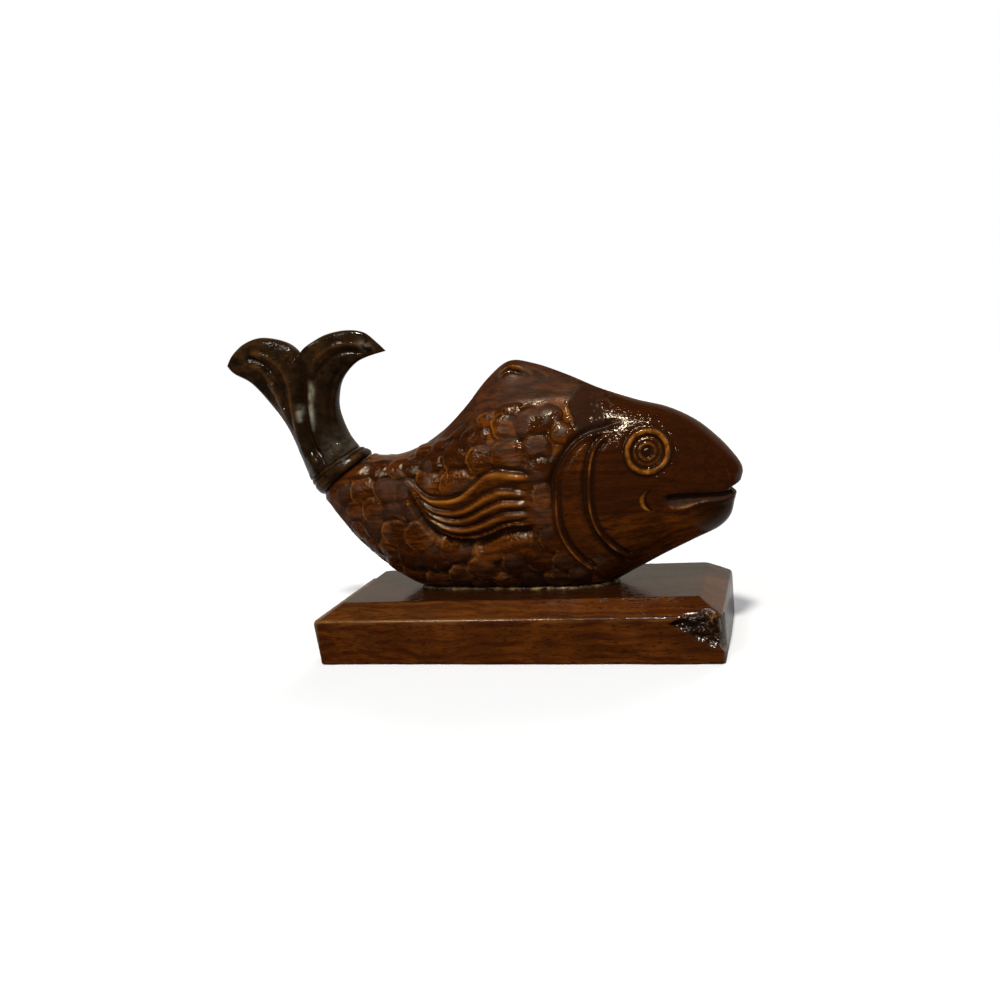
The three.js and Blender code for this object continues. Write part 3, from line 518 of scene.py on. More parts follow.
def plinth_grid(sizes):
    """The outline shrunk row by row towards its middle, then moved along its normals by plane marks on the
    faces, saw marks on the ends, a rough pocket at a knot and a wavy lower edge. The masks mark the knot
    and the stain round it, the sawn ends, whose pale colour is partly a painted reflection, the top,
    darkened as painted shade, and gold where the ridge is worn and, as painted light, on the upward chamfer."""
    inset, height = plinth_profile(sizes)
    outline = plinth_outline(sizes)
    half = np.array([sizes.plinth_length / 2, sizes.plinth_depth / 2])
    shrink = 1 - inset[:, None, None] / half
    levels = np.broadcast_to(height[:, None, None], (len(inset), len(outline), 1))
    grid = np.concatenate([outline * shrink, levels], 2)
    normal = grid_normals(grid)
    normal *= np.sign((normal * (grid - (0, 0, sizes.plinth_height / 2))).sum(-1, keepdims=True))
    places = grid / MM
    x, y, z = places[..., 0], places[..., 1], places[..., 2]
    upward = normal[..., 2]
    end = smooth(0.6, 0.95, np.abs(normal[..., 0]))
    wall = smooth(0.5, 0.2, np.abs(upward))
    relief = 0.08 * rough(places * (0.25, 1, 1), 5, 1) + 0.28 * rough(places * (0.4, 1, 1), 24, 2)
    relief *= (1 - 0.75 * smooth(0.8, 1, upward)) * (1 - 0.7 * end)
    saw = rough(np.stack([x, y * 0.75 + 0.35 * z, 0.12 * z], -1), 1.1, 5)
    relief += end * (0.05 * saw + 0.4 * (1 - (grid[..., 1] / half[1]) ** 2))
    edge = (sizes.plinth_height - sizes.chamfer_drop) / MM
    ridge = hump(z - edge, 1.1) * wall
    relief *= 1 - 0.8 * hump(z - edge, 1.5)
    relief -= ridge * (0.15 + 0.06 * rough(places, 9, 8))
    relief += smooth(-60, -86, x) * end * 1.5 * np.clip(z / edge, 0, 1)
    knot = knot_mask(x, y, z)
    pits = 0.5 + 0.5 * rough(places * (1, 1, 1.6), 3.4, 11)
    crumbs = 0.5 + 0.5 * rough(places, 1.5, 12)
    relief -= knot * (0.5 + 2.6 * pits ** 1.5 + 1.1 * crumbs)
    grid = grid + normal * relief[..., None] * MM
    low = smooth(2.5, 0, z) * (0.35 + 0.35 * rough(places * (1, 1, 0), 9, 14))
    low *= MM * smooth(8, 0.5, inset / MM)[:, None]
    grid[..., 2] = np.maximum(grid[..., 2], np.where(z < 0.5, low, 0))
    # Gold where the ridge is worn, and painted light on the upward chamfer, stronger towards the left.
    wear_and_painted_light = ridge * smooth(-0.5, 0.6, rough(places, 9, 15))
    wear_and_painted_light += 0.85 * between(upward, 0.3, 0.5, 0.7, 0.9) * smooth(60, -40, x)
    stain = smooth(16, 2, np.hypot(0.8 * (x - 80), 1.3 * (z - 13))) * smooth(-24, -29, y)
    dark = np.maximum(knot * smooth(0.35, 0.75, pits), 0.75 * stain)
    # The top mask darkens the top as painted shade; the saw mask marks the sawn ends, whose pale colour is
    # partly a painted reflection.
    masks = {"knot": knot, "saw": end, "gold": wear_and_painted_light * (1 - knot), "dark": dark, "knifed": 1.5 * knot,
             "top": smooth(0.85, 0.98, upward)}
    return grid, masks


def knot_mask(x, y, z):
    """A ragged wedge at the front right corner, pointed at its left: between an upper and a lower line on
    the front, carried on over the chamfer, with its edge shifted by noise."""
    places = np.stack([x, y, z], -1)
    level = z + 0.25 * (y + 36) + 1.1 * rough(places, 4, 21) + 0.6 * rough(places, 1.7, 22)
    upper = np.interp(x, (64.5, 72, 80, 87), (17, 20.6, 22, 20))
    lower = np.interp(x, (64.5, 76, 87), (17, 10.5, 5))
    return smooth(-0.3, 0.9, upper - level) * smooth(-0.3, 0.9, level - lower) * smooth(-24, -29, y)


# Fish body

def body_table(sizes):
    """Ribs of the body in metres, the first one standing at the stalk of the tail."""
    ribs = np.array(BODY_RIBS)
    ribs[:, 0:4] *= (sizes.body_length, sizes.body_height, sizes.body_length, sizes.body_height)
    ribs[:, 4] *= sizes.body_width / 2
    centre = stalk_centre(sizes)
    reach = np.array([math.cos(STALK_TILT), math.sin(STALK_TILT)]) * STALK_HEIGHT / 2
    stalk = np.concatenate([centre - reach, centre + reach, [STALK_WIDTH / 2, 1, 0.5]])
    return np.concatenate([stalk[None], ribs])


def stalk_centre(sizes):
    """Middle of the body's end face at the tail, in the upright plane of the fish."""
    return np.array(STALK_CENTRE) * (sizes.body_length, sizes.body_height)


def drawn(flank, sizes):
    """Places along and up the flank in the millimetres of the drawing."""
    x = flank[..., 0] / sizes.body_length * DRAWN_LENGTH
    z = flank[..., 2] / sizes.body_height * DRAWN_HEIGHT
    return x, z


def flank_place(spot, sizes):
    """A spot of the drawing in metres, in the upright plane of the fish."""
    along = spot[0] / DRAWN_LENGTH * sizes.body_length
    return along, 0, spot[1] / DRAWN_HEIGHT * sizes.body_height + sizes.plinth_height


def rib_points(ribs, angle):
    """Half loops of ribs: up from belly to back by the sine of an angle, stretched above and below the
    waist, and out by half the width times its cosine, raised to the crown's power above the waist."""
    rise = np.sin(angle)
    reach = np.maximum(np.cos(angle), 0)
    belly_x, belly_z, back_x, back_z, half, crown, waist = (ribs[:, i:i + 1] for i in range(7))
    up = np.where(rise < 0, waist * (1 + rise), waist + (1 - waist) * rise)
    out = half * reach ** np.where(rise > 0, crown, 1)
    return np.stack([belly_x + (back_x - belly_x) * up, out, belly_z + (back_z - belly_z) * up], -1)


def walked(points):
    """Length walked along a row of points from its first one."""
    steps = np.linalg.norm(np.diff(points, axis=0), axis=1)
    return np.concatenate([[0], np.cumsum(steps)])


def flank_grid(sizes):
    """One flank from belly to back and from tail to nose. Columns are spaced evenly by length, and so are
    rows, but closer together on the trunk and closest on the head."""
    table = body_table(sizes)
    fine = np.linspace(0, 1, FINE_STEPS)
    ribs = spline(table, fine)
    track = np.column_stack([(ribs[:, 0:2] + ribs[:, 2:4]) / 2, ribs[:, 4], (ribs[:, 3] - ribs[:, 1]) / 2])
    x = track[:, 0] / MM
    busy = 1 + HEAD_CLOSER * smooth(12, 18, x) + TRUNK_CLOSER * smooth(-50, -40, x)
    length = np.concatenate([[0], np.cumsum(np.diff(walked(track)) * busy[1:])])
    share = np.interp(np.linspace(0, length[-1], BODY_ROWS), length, fine)
    angles = np.linspace(-math.pi / 2, math.pi / 2, GIRTH_STEPS)
    girth = walked(rib_points(spline(table, np.array([GIRTH_RIB])), angles)[0])
    angle = np.interp(np.linspace(0, girth[-1], FLANK_COLUMNS), girth, angles)
    flank = rib_points(spline(table, share), angle)
    middle = flank[:, np.abs(angle).argmin()]
    along = walked(middle)[:, None] + 0 * flank[..., 0]
    steps = np.linalg.norm(np.diff(flank, axis=1), axis=2)
    around = np.concatenate([np.zeros((BODY_ROWS, 1)), np.cumsum(steps, 1)], 1)
    around -= around[:, np.abs(angle).argmin()][:, None]
    return flank, along, around


def scale_pads(flank, x, z, seed):
    """Round scales laid over each other towards the tail: each place belongs to the pad nearest the head
    whose ball covers it. A pad is a flat dome that leans up to its free edge; also the share of its radius,
    how far the nearest edge is, a fixed tone for each pad, and how far a place lies towards the pad's free
    edge."""
    places = flank / MM
    waver = 0.9 * rough(places, 5.5, seed + 5) + 0.45 * rough(places, 2.4, seed + 6)
    lumps = 1 + 0.3 * rough(places, 3.4, seed + 7)
    starts = (-1e9, -0.4, 1.0, 9.0, 0.5, 0.0)
    best, height, share, bare, tone, free = (np.full(x.shape, start) for start in starts)
    for number, (along, up, radius) in enumerate(SCALES):
        shift = hashed(np.array([number, number + 71, number + 143]), np.full(3, seed)) - 0.5
        if seed == FAR_SEED:
            along = along + 1.6 * shift[0]
            up = up + 1.6 * shift[1]
        centre = places.reshape(-1, 3)[np.hypot(x - along, z - up).argmin()]
        reach = np.linalg.norm(places - centre, axis=-1) + waver
        part = reach / radius
        order = along + 3 * shift[2]
        better = (part < 1) & (order > best)
        back = -(x - along) / radius
        lean = 0.4 * back - (0.1 + 0.3 * shift[0]) * (z - up) / radius
        dome = np.sqrt(np.maximum(1 - np.clip(part, 0, 1) ** 2.4, 0))
        height = np.where(better, (1.1 * lumps + lean) * dome - 0.35, height)
        share = np.where(better, part, share)
        tone = np.where(better, hashed(np.array(number), np.array(seed + 3)), tone)
        free = np.where(better, smooth(-0.3, 0.8, back), free)
        best = np.where(better, order, best)
        bare = np.minimum(bare, np.abs(reach - radius))
    return height, share, bare, tone, free


class Carving:
    """One flank's carving over its drawn places, x along and z up: its height in millimetres and its masks.
    Each feature is a sum of bells and steps of the distance to its drawn line."""

    def __init__(self, flank, along, around, sizes, seed):
        """Starts plain, with the height of the dorsal base and the distances from head line, stalk, belly
        and back."""
        self.sizes = sizes
        self.seed = seed
        self.x, self.z = drawn(flank, sizes)
        self.places = np.stack([self.x, flank[..., 1] / MM, self.z], -1)
        self.height, self.gold, self.dark, self.warm = np.zeros((4, *self.x.shape))
        self.head, _ = line_field(self.x, self.z, HEAD_LINE, 90)
        self.base = line_at(DORSAL_BASE, self.x)
        self.past_stalk = along / MM
        self.over_belly = (around - around[:, :1]) / MM
        self.below_back = (around[:, -1:] - around) / MM

    def noise(self, size, number, stretch=1):
        """Value noise over the flank, a field of its own for each number."""
        return rough(self.places * stretch, size, self.seed + number)

    def place_fin(self):
        """Where the side fin lies: the share down from its top line to its bottom line, the crests between
        its flutes, its ends, and the slope below it."""
        x, z = self.x, self.z
        self.top = line_at(FIN_TOP, x)
        bottom = line_at(FIN_BOTTOM, x)
        self.down = (self.top - z) / (self.top - bottom)
        flute = np.interp(self.down, FIN_CRESTS, range(len(FIN_CRESTS)))
        self.crest = (2 * (flute - np.floor(np.minimum(flute, len(FIN_CRESTS) - 1.001))) ** 2.2 - 1) ** 2
        valley = 1 - self.crest
        span = smooth(-43 + 5 * valley, -39 + 6 * valley, x) * smooth(11, 6.5, x + 4 * valley)
        self.fin = between(self.down, -0.07, 0.0, 1.0, 1.07) * span
        self.fin_wide = between(x, -46, -40, 7, 14)
        self.near_fin = smooth(2.5, 0.8, np.maximum(z - self.top, bottom - z)) * self.fin_wide
        self.under = bottom - z
        self.slope = between(self.under, 0.5, 1.5, 9, 12) * between(x, -17, -12, 8, 12)

    def cut_scales(self, flank):
        """Scales behind the head line, below the dorsal base and off the fin, with knife marks as noise."""
        lift, share, bare, tone, free = scale_pads(flank, self.x, self.z, self.seed)
        scaled = smooth(-0.4, -1.8, self.head) * smooth(-1, 2, self.base - self.z)
        scaled *= (1 - self.near_fin) * (1 - self.slope)
        scaled *= smooth(1.5, 5, self.past_stalk) * smooth(1.5, 6, self.over_belly)
        knife = 0.2 * self.noise(4.5, 1) + 0.13 * self.noise(1.9, 2)
        self.height += scaled * (self.sizes.scale_depth / MM * blurred(lift, 1) + knife)
        patchy = 0.3 + 0.7 * smooth(-0.4, 0.4, self.noise(5.5, 3))
        edge = smooth(0.76, 0.97, share) * (share < 1)
        self.gold += scaled * patchy * (edge * (0.15 + 0.55 * free) + 0.2 * (share >= 1))
        # Painted shade along each pad's covered edge and along the cuts between pads; each pad also has a
        # darker or lighter tone of its own.
        self.dark += scaled * (0.35 * edge * (1 - free) + 0.25 * hump(bare, 0.35) + 0.5 * (0.5 - tone))
        self.warm += scaled * (0.5 + 0.9 * (tone - 0.5))
        self.height += (1 - scaled) * 0.05 * self.noise(6, 4)
        self.scaled = scaled

    def cut_dorsal(self):
        """Rays as a groove beside a ridge, a crease along the fin's base, and a plate that leans out
        upwards."""
        x, z, base = self.x, self.z, self.base
        for ray in DORSAL_RAYS:
            apart, run = line_field(x, z, ray, 24)
            span = between(run, 0, 0.2, 0.75, 1) * smooth(1.5, 6, self.below_back)
            self.height += span * (0.4 * hump(apart - 1.7, 1.1) - 0.75 * hump(apart, 0.9))
            self.gold += 0.35 * span * hump(apart - 1.3, 0.8)
        self.height -= 0.35 * hump(base - z + 0.6, 1.2) * between(x, -34, -24, 20, 30)
        rise = np.clip((z - base) / np.maximum(z[:, -1:] - base, 5), 0, 1)
        plate = between(x, -26, -12, 20, 34) * smooth(0, 3.5, self.below_back)
        self.height += 0.9 * plate * (2 * rise - 1) * smooth(-6, 4, z - base)

    def cut_nape(self):
        """A step up to the head behind a hollow, with a golden nick and a dark line, between two
        heights."""
        head = self.head
        nape = between(self.z, 66, 71, 77, 83)
        step = 0.3 * smooth(-0.5, 0.6, head) * np.exp(-np.maximum(head, 0) / 12)
        self.height += nape * (step - 0.5 * hump(head + 1.6, 1.6))
        nick = nape * between(head, -7, -2.5, -0.5, 0.2)
        mottle = smooth(-0.5, 0.5, self.noise(2.2, 10))
        self.gold += nick * smooth(69.5, 72, self.z) * (0.1 + 0.5 * mottle)
        self.dark += 0.8 * nape * hump(head - 0.3, 0.7)

    def cut_gill(self):
        """The gill cover: a narrow bell along each of three lines for its ridge, wider ones beside it for
        the hollows, which are darkened as painted shade, the ridge golden where noise says that it is worn."""
        x, z = self.x, self.z
        rim = self.sizes.rim_height / MM
        worn = 0.3 + 0.7 * smooth(-0.35, 0.5, self.noise(3, 12, (1, 1, 0.5)))
        outer, run = line_field(x, z, GILL_OUTER, 90)
        span = between(run, 0.1, 0.2, 0.96, 1)
        shade = between(run, 0, 0.16, 0.42, 0.66)
        self.height += span * rim * 0.8 * hump(outer - 0.1, 0.62)
        self.height -= shade * rim * 1.9 * hump(outer + 1.9, 1.35)
        self.height -= span * rim * (0.35 + 0.75 * smooth(0.4, 0.62, run)) * hump(outer - 1.9, 0.9)
        self.gold += span * (0.15 + 0.45 * smooth(0.5, 0.7, run)) * hump(outer - 0.1, 0.5) * worn
        # Painted shade in the hollows on both sides of the outer ridge.
        self.dark += shade * hump(outer + 1.8, 1.5)
        self.dark += 0.8 * span * smooth(0.36, 0.6, run) * hump(outer - 1.8, 0.85)
        inner, run = line_field(x, z, GILL_INNER, 80)
        span = between(run, 0, 0.05, 0.94, 1)
        rise = 0.95 * hump(inner, 0.6) - 0.9 * hump(inner - 1.6, 0.85) - 1.3 * hump(inner + 1.9, 1.15)
        self.height += span * rim * rise
        self.gold += span * 0.65 * hump(inner - 0.05, 0.5) * worn
        # Painted shade in the hollows on both sides of the inner ridge.
        self.dark += span * (0.75 * hump(inner - 1.6, 0.8) + 0.85 * hump(inner + 1.9, 1.1))
        fold, run = line_field(x, z, GILL_FOLD, 70)
        span = between(run, 0, 0.2, 0.85, 1)
        self.height += span * rim * (0.45 * hump(fold, 0.75) - 0.35 * hump(fold + 1.5, 0.9))
        self.gold += span * (0.1 + 0.5 * smooth(0.55, 0.8, run)) * hump(fold, 0.5) * worn
        self.warm += 0.45 * smooth(0.3, 1.2, outer) * smooth(-0.3, -1.2, inner) * smooth(64, 60, z)
        self.inner = inner

    def cut_eye(self):
        """Rings round the eye: bells of the distance from its middle, the outer one a little out of
        round."""
        away = np.hypot(self.x - EYE[0], self.z - EYE[1])
        angle = np.arctan2(self.z - EYE[1], self.x - EYE[0])
        ring = away - (EYE_RING + 0.18 * np.sin(3 * angle + 1) + 0.12 * np.sin(7 * angle))
        self.height += 1.2 * hump(ring, 1.0) - 0.3 * hump(ring - 2.0, 0.9)
        self.height -= 0.75 * smooth(7.3, 6.1, away)
        self.height += 0.3 * hump(away - 5.1, 0.6) + 0.45 * hump(away - 3.1, 0.6)
        self.height += 0.1 * hump(away, 1.1) - 0.3 * hump(away - 1.8, 0.5)
        patina = 0.6 + 0.4 * smooth(-0.5, 0.5, self.noise(2.4, 13))
        rings = 0.3 * hump(ring, 1.0) + 0.45 * hump(away - 3.1, 0.5) + 0.35 * hump(away - 5.1, 0.5)
        self.gold += patina * rings
        self.dark += 0.35 * smooth(7.3, 6.4, away) + 0.9 * hump(away, 1.2) + 0.3 * hump(ring - 1.9, 0.8)
        self.away = away

    def cut_fin(self):
        """The side fin: crests over valleys, a groove above it, and a scoop and a swell below it. The
        valleys, the groove and the scoop are darkened as painted shade.
        """
        x, z, fin, under, wide = self.x, self.z, self.fin, self.under, self.fin_wide
        ridge = 1 - (1 - self.crest) ** 1.6
        self.height += fin * (self.sizes.fin_depth / MM) * (ridge - 0.13)
        self.height -= 0.9 * hump(z - self.top - 1.7, 1.25) * wide
        self.height -= 2.4 * between(under, 0, 1.0, 1.5, 8) * wide
        self.height += 1.1 * between(under, 3, 8, 10, 26) * between(x, -22, -14, 8, 16)
        self.height += 0.25 * self.slope * self.noise(1.8, 14)
        streak = 0.55 + 0.45 * self.noise(2.2, 8, (0.3, 1, 1))
        crested = streak * smooth(0.7, 0.98, self.crest) * (0.45 + 0.35 * hump(self.down, 0.2))
        self.gold += fin * (crested + 0.04) + 0.3 * wide * hump(under - 3.2, 1.6)
        # Painted shade in the valleys between the crests, in the groove above the fin and in the scoop below
        # it.
        self.dark += fin * 0.55 * smooth(0.25, 0.0, self.crest)
        self.dark += 0.4 * wide * (hump(z - self.top - 1.5, 1.0) + hump(under - 1.0, 0.8))
        self.warm += 0.5 * self.near_fin + 0.5 * self.slope

    def cut_mouth(self):
        """The mouth between its upper and lower line, cut deepest under the upper lip, with swollen lips.
        The slot is darkened as painted shade, darkest as a painted shadow under the upper lip, and the lips
        are darker.
        The gold of its lower edge and the pale of its floor are kept for the masks."""
        x, z = self.x, self.z
        upper = line_at(MOUTH_UPPER, x, 100)
        lower = line_at(MOUTH_LOWER, x, 100)
        share = (upper - z) / np.maximum(upper - lower, 0.5)
        mouth = between(share, -0.05, 0.12, 0.9, 1.1) * smooth(63.5, 66.5, x)
        self.height -= mouth * (2.3 * (1 - 0.8 * np.clip(share, 0, 1)) + 0.5 * hump(x - 67, 2.2))
        self.height += 0.3 * smooth(66, 72, x) * (hump(z - upper - 1.4, 1.3) + hump(lower - z - 0.9, 1.1))
        freckle = smooth(-0.4, 0.5, self.noise(1.8, 15))
        behind = smooth(90, 80, x)
        self.gold += mouth * behind * (0.12 + 0.3 * freckle)
        lips = smooth(66, 71, x) * (hump(z - upper - 2.6, 2.0) + hump(lower - z - 3.2, 2.2))
        # Painted shade in the slot, darkest as a painted shadow under the upper lip; the lips are darker.
        self.dark += mouth * (0.25 + smooth(0.34, 0.08, share)) + 0.4 * lips
        self.mouth = mouth
        self.lip_edge = hump(lower - z - 0.2, 0.55) * smooth(65, 68, x)
        self.lip_gold = self.lip_edge * behind * (0.1 + 0.45 * freckle)
        self.floor_pale = 0.05 * mouth * smooth(0.25, 0.5, share) * smooth(84, 70, x) * (0.4 + 0.6 * freckle)

    def cut_cheek(self):
        """A crescent on the cheek, inside one circle and outside another, golden where it is shallow and
        darkened as painted shade where it is deepest, and a crease at the snout.
        """
        x, z = self.x, self.z
        inside = 4.9 - np.hypot(x - CHEEK_CUT[0], (z - CHEEK_CUT[1]) * 1.08)
        beyond = np.hypot(x - CHEEK_CUT[0] - 2.7, z - CHEEK_CUT[1]) - 4.6
        cut = smooth(0, 0.35, inside) * smooth(0, 0.35, beyond) * smooth(60.6, 58.8, x)
        fall = np.clip(inside / np.maximum(inside + beyond, 0.3), 0, 1)
        self.height -= cut * 1.5 * fall
        self.gold += cut * 0.75 * smooth(0.85, 0.45, fall)
        # Painted shade in the deepest part of the crescent.
        self.dark += cut * smooth(0.6, 0.95, fall)
        crease, run = line_field(x, z, SNOUT_CREASE, 20)
        span = between(run, 0, 0.3, 0.7, 1)
        self.height -= 0.35 * hump(crease, 0.9) * span
        self.gold += 0.2 * hump(crease - 0.6, 0.5) * span

    def masks(self):
        """Painted shade in the hollows and gold on the crests of the blurred height, light wood on the jaw,
        dark on chin and neck, pale spots painted as highlights on two upturned facets, knifed places for
        fine nicks, and dull ones where the varnish is thin."""
        x, z, head, scaled = self.x, self.z, self.head, self.scaled
        hollows = blurred(self.height, 10) - self.height
        jaw = smooth(1, 4, self.inner) * smooth(36, 27, z) * smooth(66, 60, x - 0.6 * z)
        chin = smooth(74, 86, x) * smooth(38, 32, z)
        neck = smooth(-1, 1, head) * smooth(65, 69, z) * smooth(50, 38, x)
        brow = smooth(46, 60, z) * smooth(36, 42, x) * smooth(9, 11, self.away)
        # The hollows are darkened as painted shade.
        dark = self.dark + 0.9 * smooth(0.08, 0.5, hollows)
        dark += 0.16 * smooth(0, 3, head) * (1 - jaw) + 0.2 * neck + 0.3 * chin
        gold = self.gold + 0.3 * smooth(0.15, 0.5, -hollows) * (0.3 + 0.7 * scaled)
        gold += self.lip_gold - 0.3 * self.mouth * gold
        warm = self.warm + (1 - scaled) * (0.8 * jaw + 0.3 * smooth(0, -3, head))
        # Painted highlights: pale spots on two upturned scale facets behind the head.
        pale = 0.6 * hump(np.hypot(x - 24, (z - 67.5) * 1.2), 2.0)
        pale += 0.5 * hump(np.hypot(x - 17.6, (z - 73.5) * 0.8), 1.5)
        pale *= smooth(-0.5, 0.3, self.noise(1.6, 16))
        knifed = scaled + 1.4 * self.slope + 0.3 * self.fin + 0.35 * brow + 0.5 * neck + self.lip_edge
        tip = hump(np.hypot(x - 2, z - 94), 5.0)
        dorsal = smooth(-2, 2, z - self.base) * between(x, -36, -24, 28, 34) * (1 - tip)
        glossy = smooth(46, 54, z) * smooth(4, -6, x)
        matt = scaled * smooth(0.35, 0.65, 0.55 - 0.4 * glossy + 0.6 * self.noise(7, 17))
        fading = smooth(0.45, 0.6, smooth(50, 32, x) + 0.6 * self.noise(1.1, 18))
        dull = np.maximum.reduce([dorsal, matt, 1.5 * neck * fading, 1.2 * self.mouth])
        return {
            "gold": np.clip(gold, 0, 1), "dark": np.clip(dark, DARK_LEAST, 1), "warm": np.clip(warm, 0, 1),
            "pale": pale + self.floor_pale, "knifed": np.clip(knifed, 0, 1.5), "dull": dull,
        }


def body_relief(flank, along, around, sizes, seed):
    """Height of one flank's carving in millimetres and its masks, cut feature by feature."""
    carving = Carving(flank, along, around, sizes, seed)
    carving.place_fin()
    carving.cut_scales(flank)
    carving.cut_dorsal()
    carving.cut_nape()
    carving.cut_gill()
    carving.cut_eye()
    carving.cut_fin()
    carving.cut_mouth()
    carving.cut_cheek()
    return carving.height, carving.masks()


def lips_parted(x, z):
    """Holds the lips back at the nose: x stays behind a line that turns in to the parting between them."""
    limit = line_at(LIP_LINE, z, 240)
    return limit - LIP_SOFT * np.log1p(np.exp(np.clip((limit - x) / LIP_SOFT, -60, 60)))


def body_grid(sizes):
    """Both flanks side by side as closed loops, moved along their normals by the height of the carving, cut
    flat at the seat, and closed at the nose by a small loop in the lips' parting."""
    flank, along, around = flank_grid(sizes)
    x, z = drawn(flank, sizes)
    front = np.where((x > LIPS_FROM[0]) & (z > LIPS_FROM[1]), lips_parted(x, z), x)
    flank[..., 0] += (np.minimum(front, x) - x) * sizes.body_length / DRAWN_LENGTH
    grid = np.concatenate([flank * (1, -1, 1), flank[:, -2:0:-1]], 1)
    normal = grid_normals(grid)
    middle = len(grid) // 2
    outward = np.sign((normal[middle] * (grid[middle] - grid[middle].mean(0))).sum())
    near_height, near_masks = body_relief(flank, along, around, sizes, NEAR_SEED)
    far_height, far_masks = body_relief(flank, along, around, sizes, FAR_SEED)
    height = np.concatenate([near_height, far_height[:, -2:0:-1]], 1)
    stalk_round = smooth(0, 2.2, walked(grid.mean(1)) / MM)[:, None]
    height -= 1.1 * (1 - stalk_round) ** 2
    grid = grid + outward * normal * height[..., None] * MM
    grid[..., 2] = np.maximum(grid[..., 2], -SEAT_SINK) + sizes.plinth_height
    masks = {key: np.concatenate([near_masks[key], far_masks[key][:, -2:0:-1]], 1) for key in near_masks}
    # Painted shade at the stalk's end, where the body meets the collar.
    masks["dark"] = np.clip(masks["dark"] + (1 - stalk_round), DARK_LEAST, 1)
    parting = np.array(flank_place(MOUTH_PARTING, sizes))
    grid = np.concatenate([grid, parting + NOSE_SHARE * (grid[-1:] - parting)])
    masks = {key: np.concatenate([field, field[-1:]]) for key, field in masks.items()}
    return grid, masks


# Collar and tail

def foot_centre(sizes):
    """Middle of the tail's foot: the stalk's middle moved along the lean by the collar and its two glue
    gaps."""
    lean = np.array([math.cos(COLLAR_LEAN), math.sin(COLLAR_LEAN)])
    return stalk_centre(sizes) + lean * (COLLAR_LENGTH + 2 * GLUE_GAP)


def collar_grid(sizes):
    """Ellipses carried round the bend from stalk to foot, swelling to a round band between two grooves."""
    share = np.linspace(0.03, 0.97, COLLAR_ROWS)[:, None]
    angle = np.linspace(0, 2 * math.pi, COLLAR_COLUMNS, endpoint=False)[None]
    x, z = (mixed(start, end, share) for start, end in zip(stalk_centre(sizes), foot_centre(sizes)))
    tilt = mixed(STALK_TILT, FOOT_TILT, share)
    band = 1.5 * (1 - np.abs(2 * share - 1) ** 3.2) - 1.0
    places = np.stack(np.broadcast_arrays(18 * np.cos(angle), 18 * np.sin(angle), 9 * share), -1)
    crease = hump(share - 0.66 - 0.05 * np.sin(angle * 2 + 1), 0.07)
    proud = (band + 0.22 * rough(places, 6, 70) + 0.08 * rough(places, 2, 71) - 0.45 * crease) * MM
    reach = (mixed(STALK_HEIGHT, FOOT_HEIGHT, share) / 2 + proud) * np.sin(angle)
    out = (mixed(STALK_WIDTH, FOOT_WIDTH, share) / 2 + proud) * np.cos(angle)
    grid = np.stack([x + np.cos(tilt) * reach, out, z + np.sin(tilt) * reach + sizes.plinth_height], -1)
    # Painted shade in the grooves at both ends of the band and in its crease.
    dark = np.clip(smooth(0.2, -0.9, band) + 0.6 * crease, 0, 1)
    gold = 0.55 * smooth(0.2, 0.5, band) * smooth(0, 0.7, rough(places, 7, 72))
    return grid, {"gold": gold, "dark": dark}


def tail_patch(sizes, across, up):
    """The tail's outline filled in: a Coons patch between a straight foot, two side edges and the two
    lobes. It is the straight mix of the side edges, plus the height's share of the way from the tips' line
    to the lobes."""
    scale = np.array([sizes.tail_width, sizes.tail_height])
    near_foot = np.array([math.cos(FOOT_TILT), math.sin(FOOT_TILT)]) * FOOT_HEIGHT / 2
    near_tip = np.array(NEAR_TIP) * scale
    far_tip = np.array(FAR_TIP) * scale
    notch = np.array(NOTCH) * scale
    near = spline([near_foot, *(np.array(NEAR_EDGE) * scale), near_tip], up)
    far = spline([-near_foot, *(np.array(FAR_EDGE) * scale), far_tip], up)
    near_lobe = spline([notch, *(np.array(NEAR_LOBE) * scale), near_tip], 2 * across - 1)
    far_lobe = spline([far_tip, *(np.array(FAR_LOBE) * scale), notch], 2 * across)
    across = across[..., None]
    lobe = np.where(across < 0.5, far_lobe, near_lobe)
    return mixed(far, near, across) + (lobe - mixed(far_tip, near_tip, across)) * up[..., None]


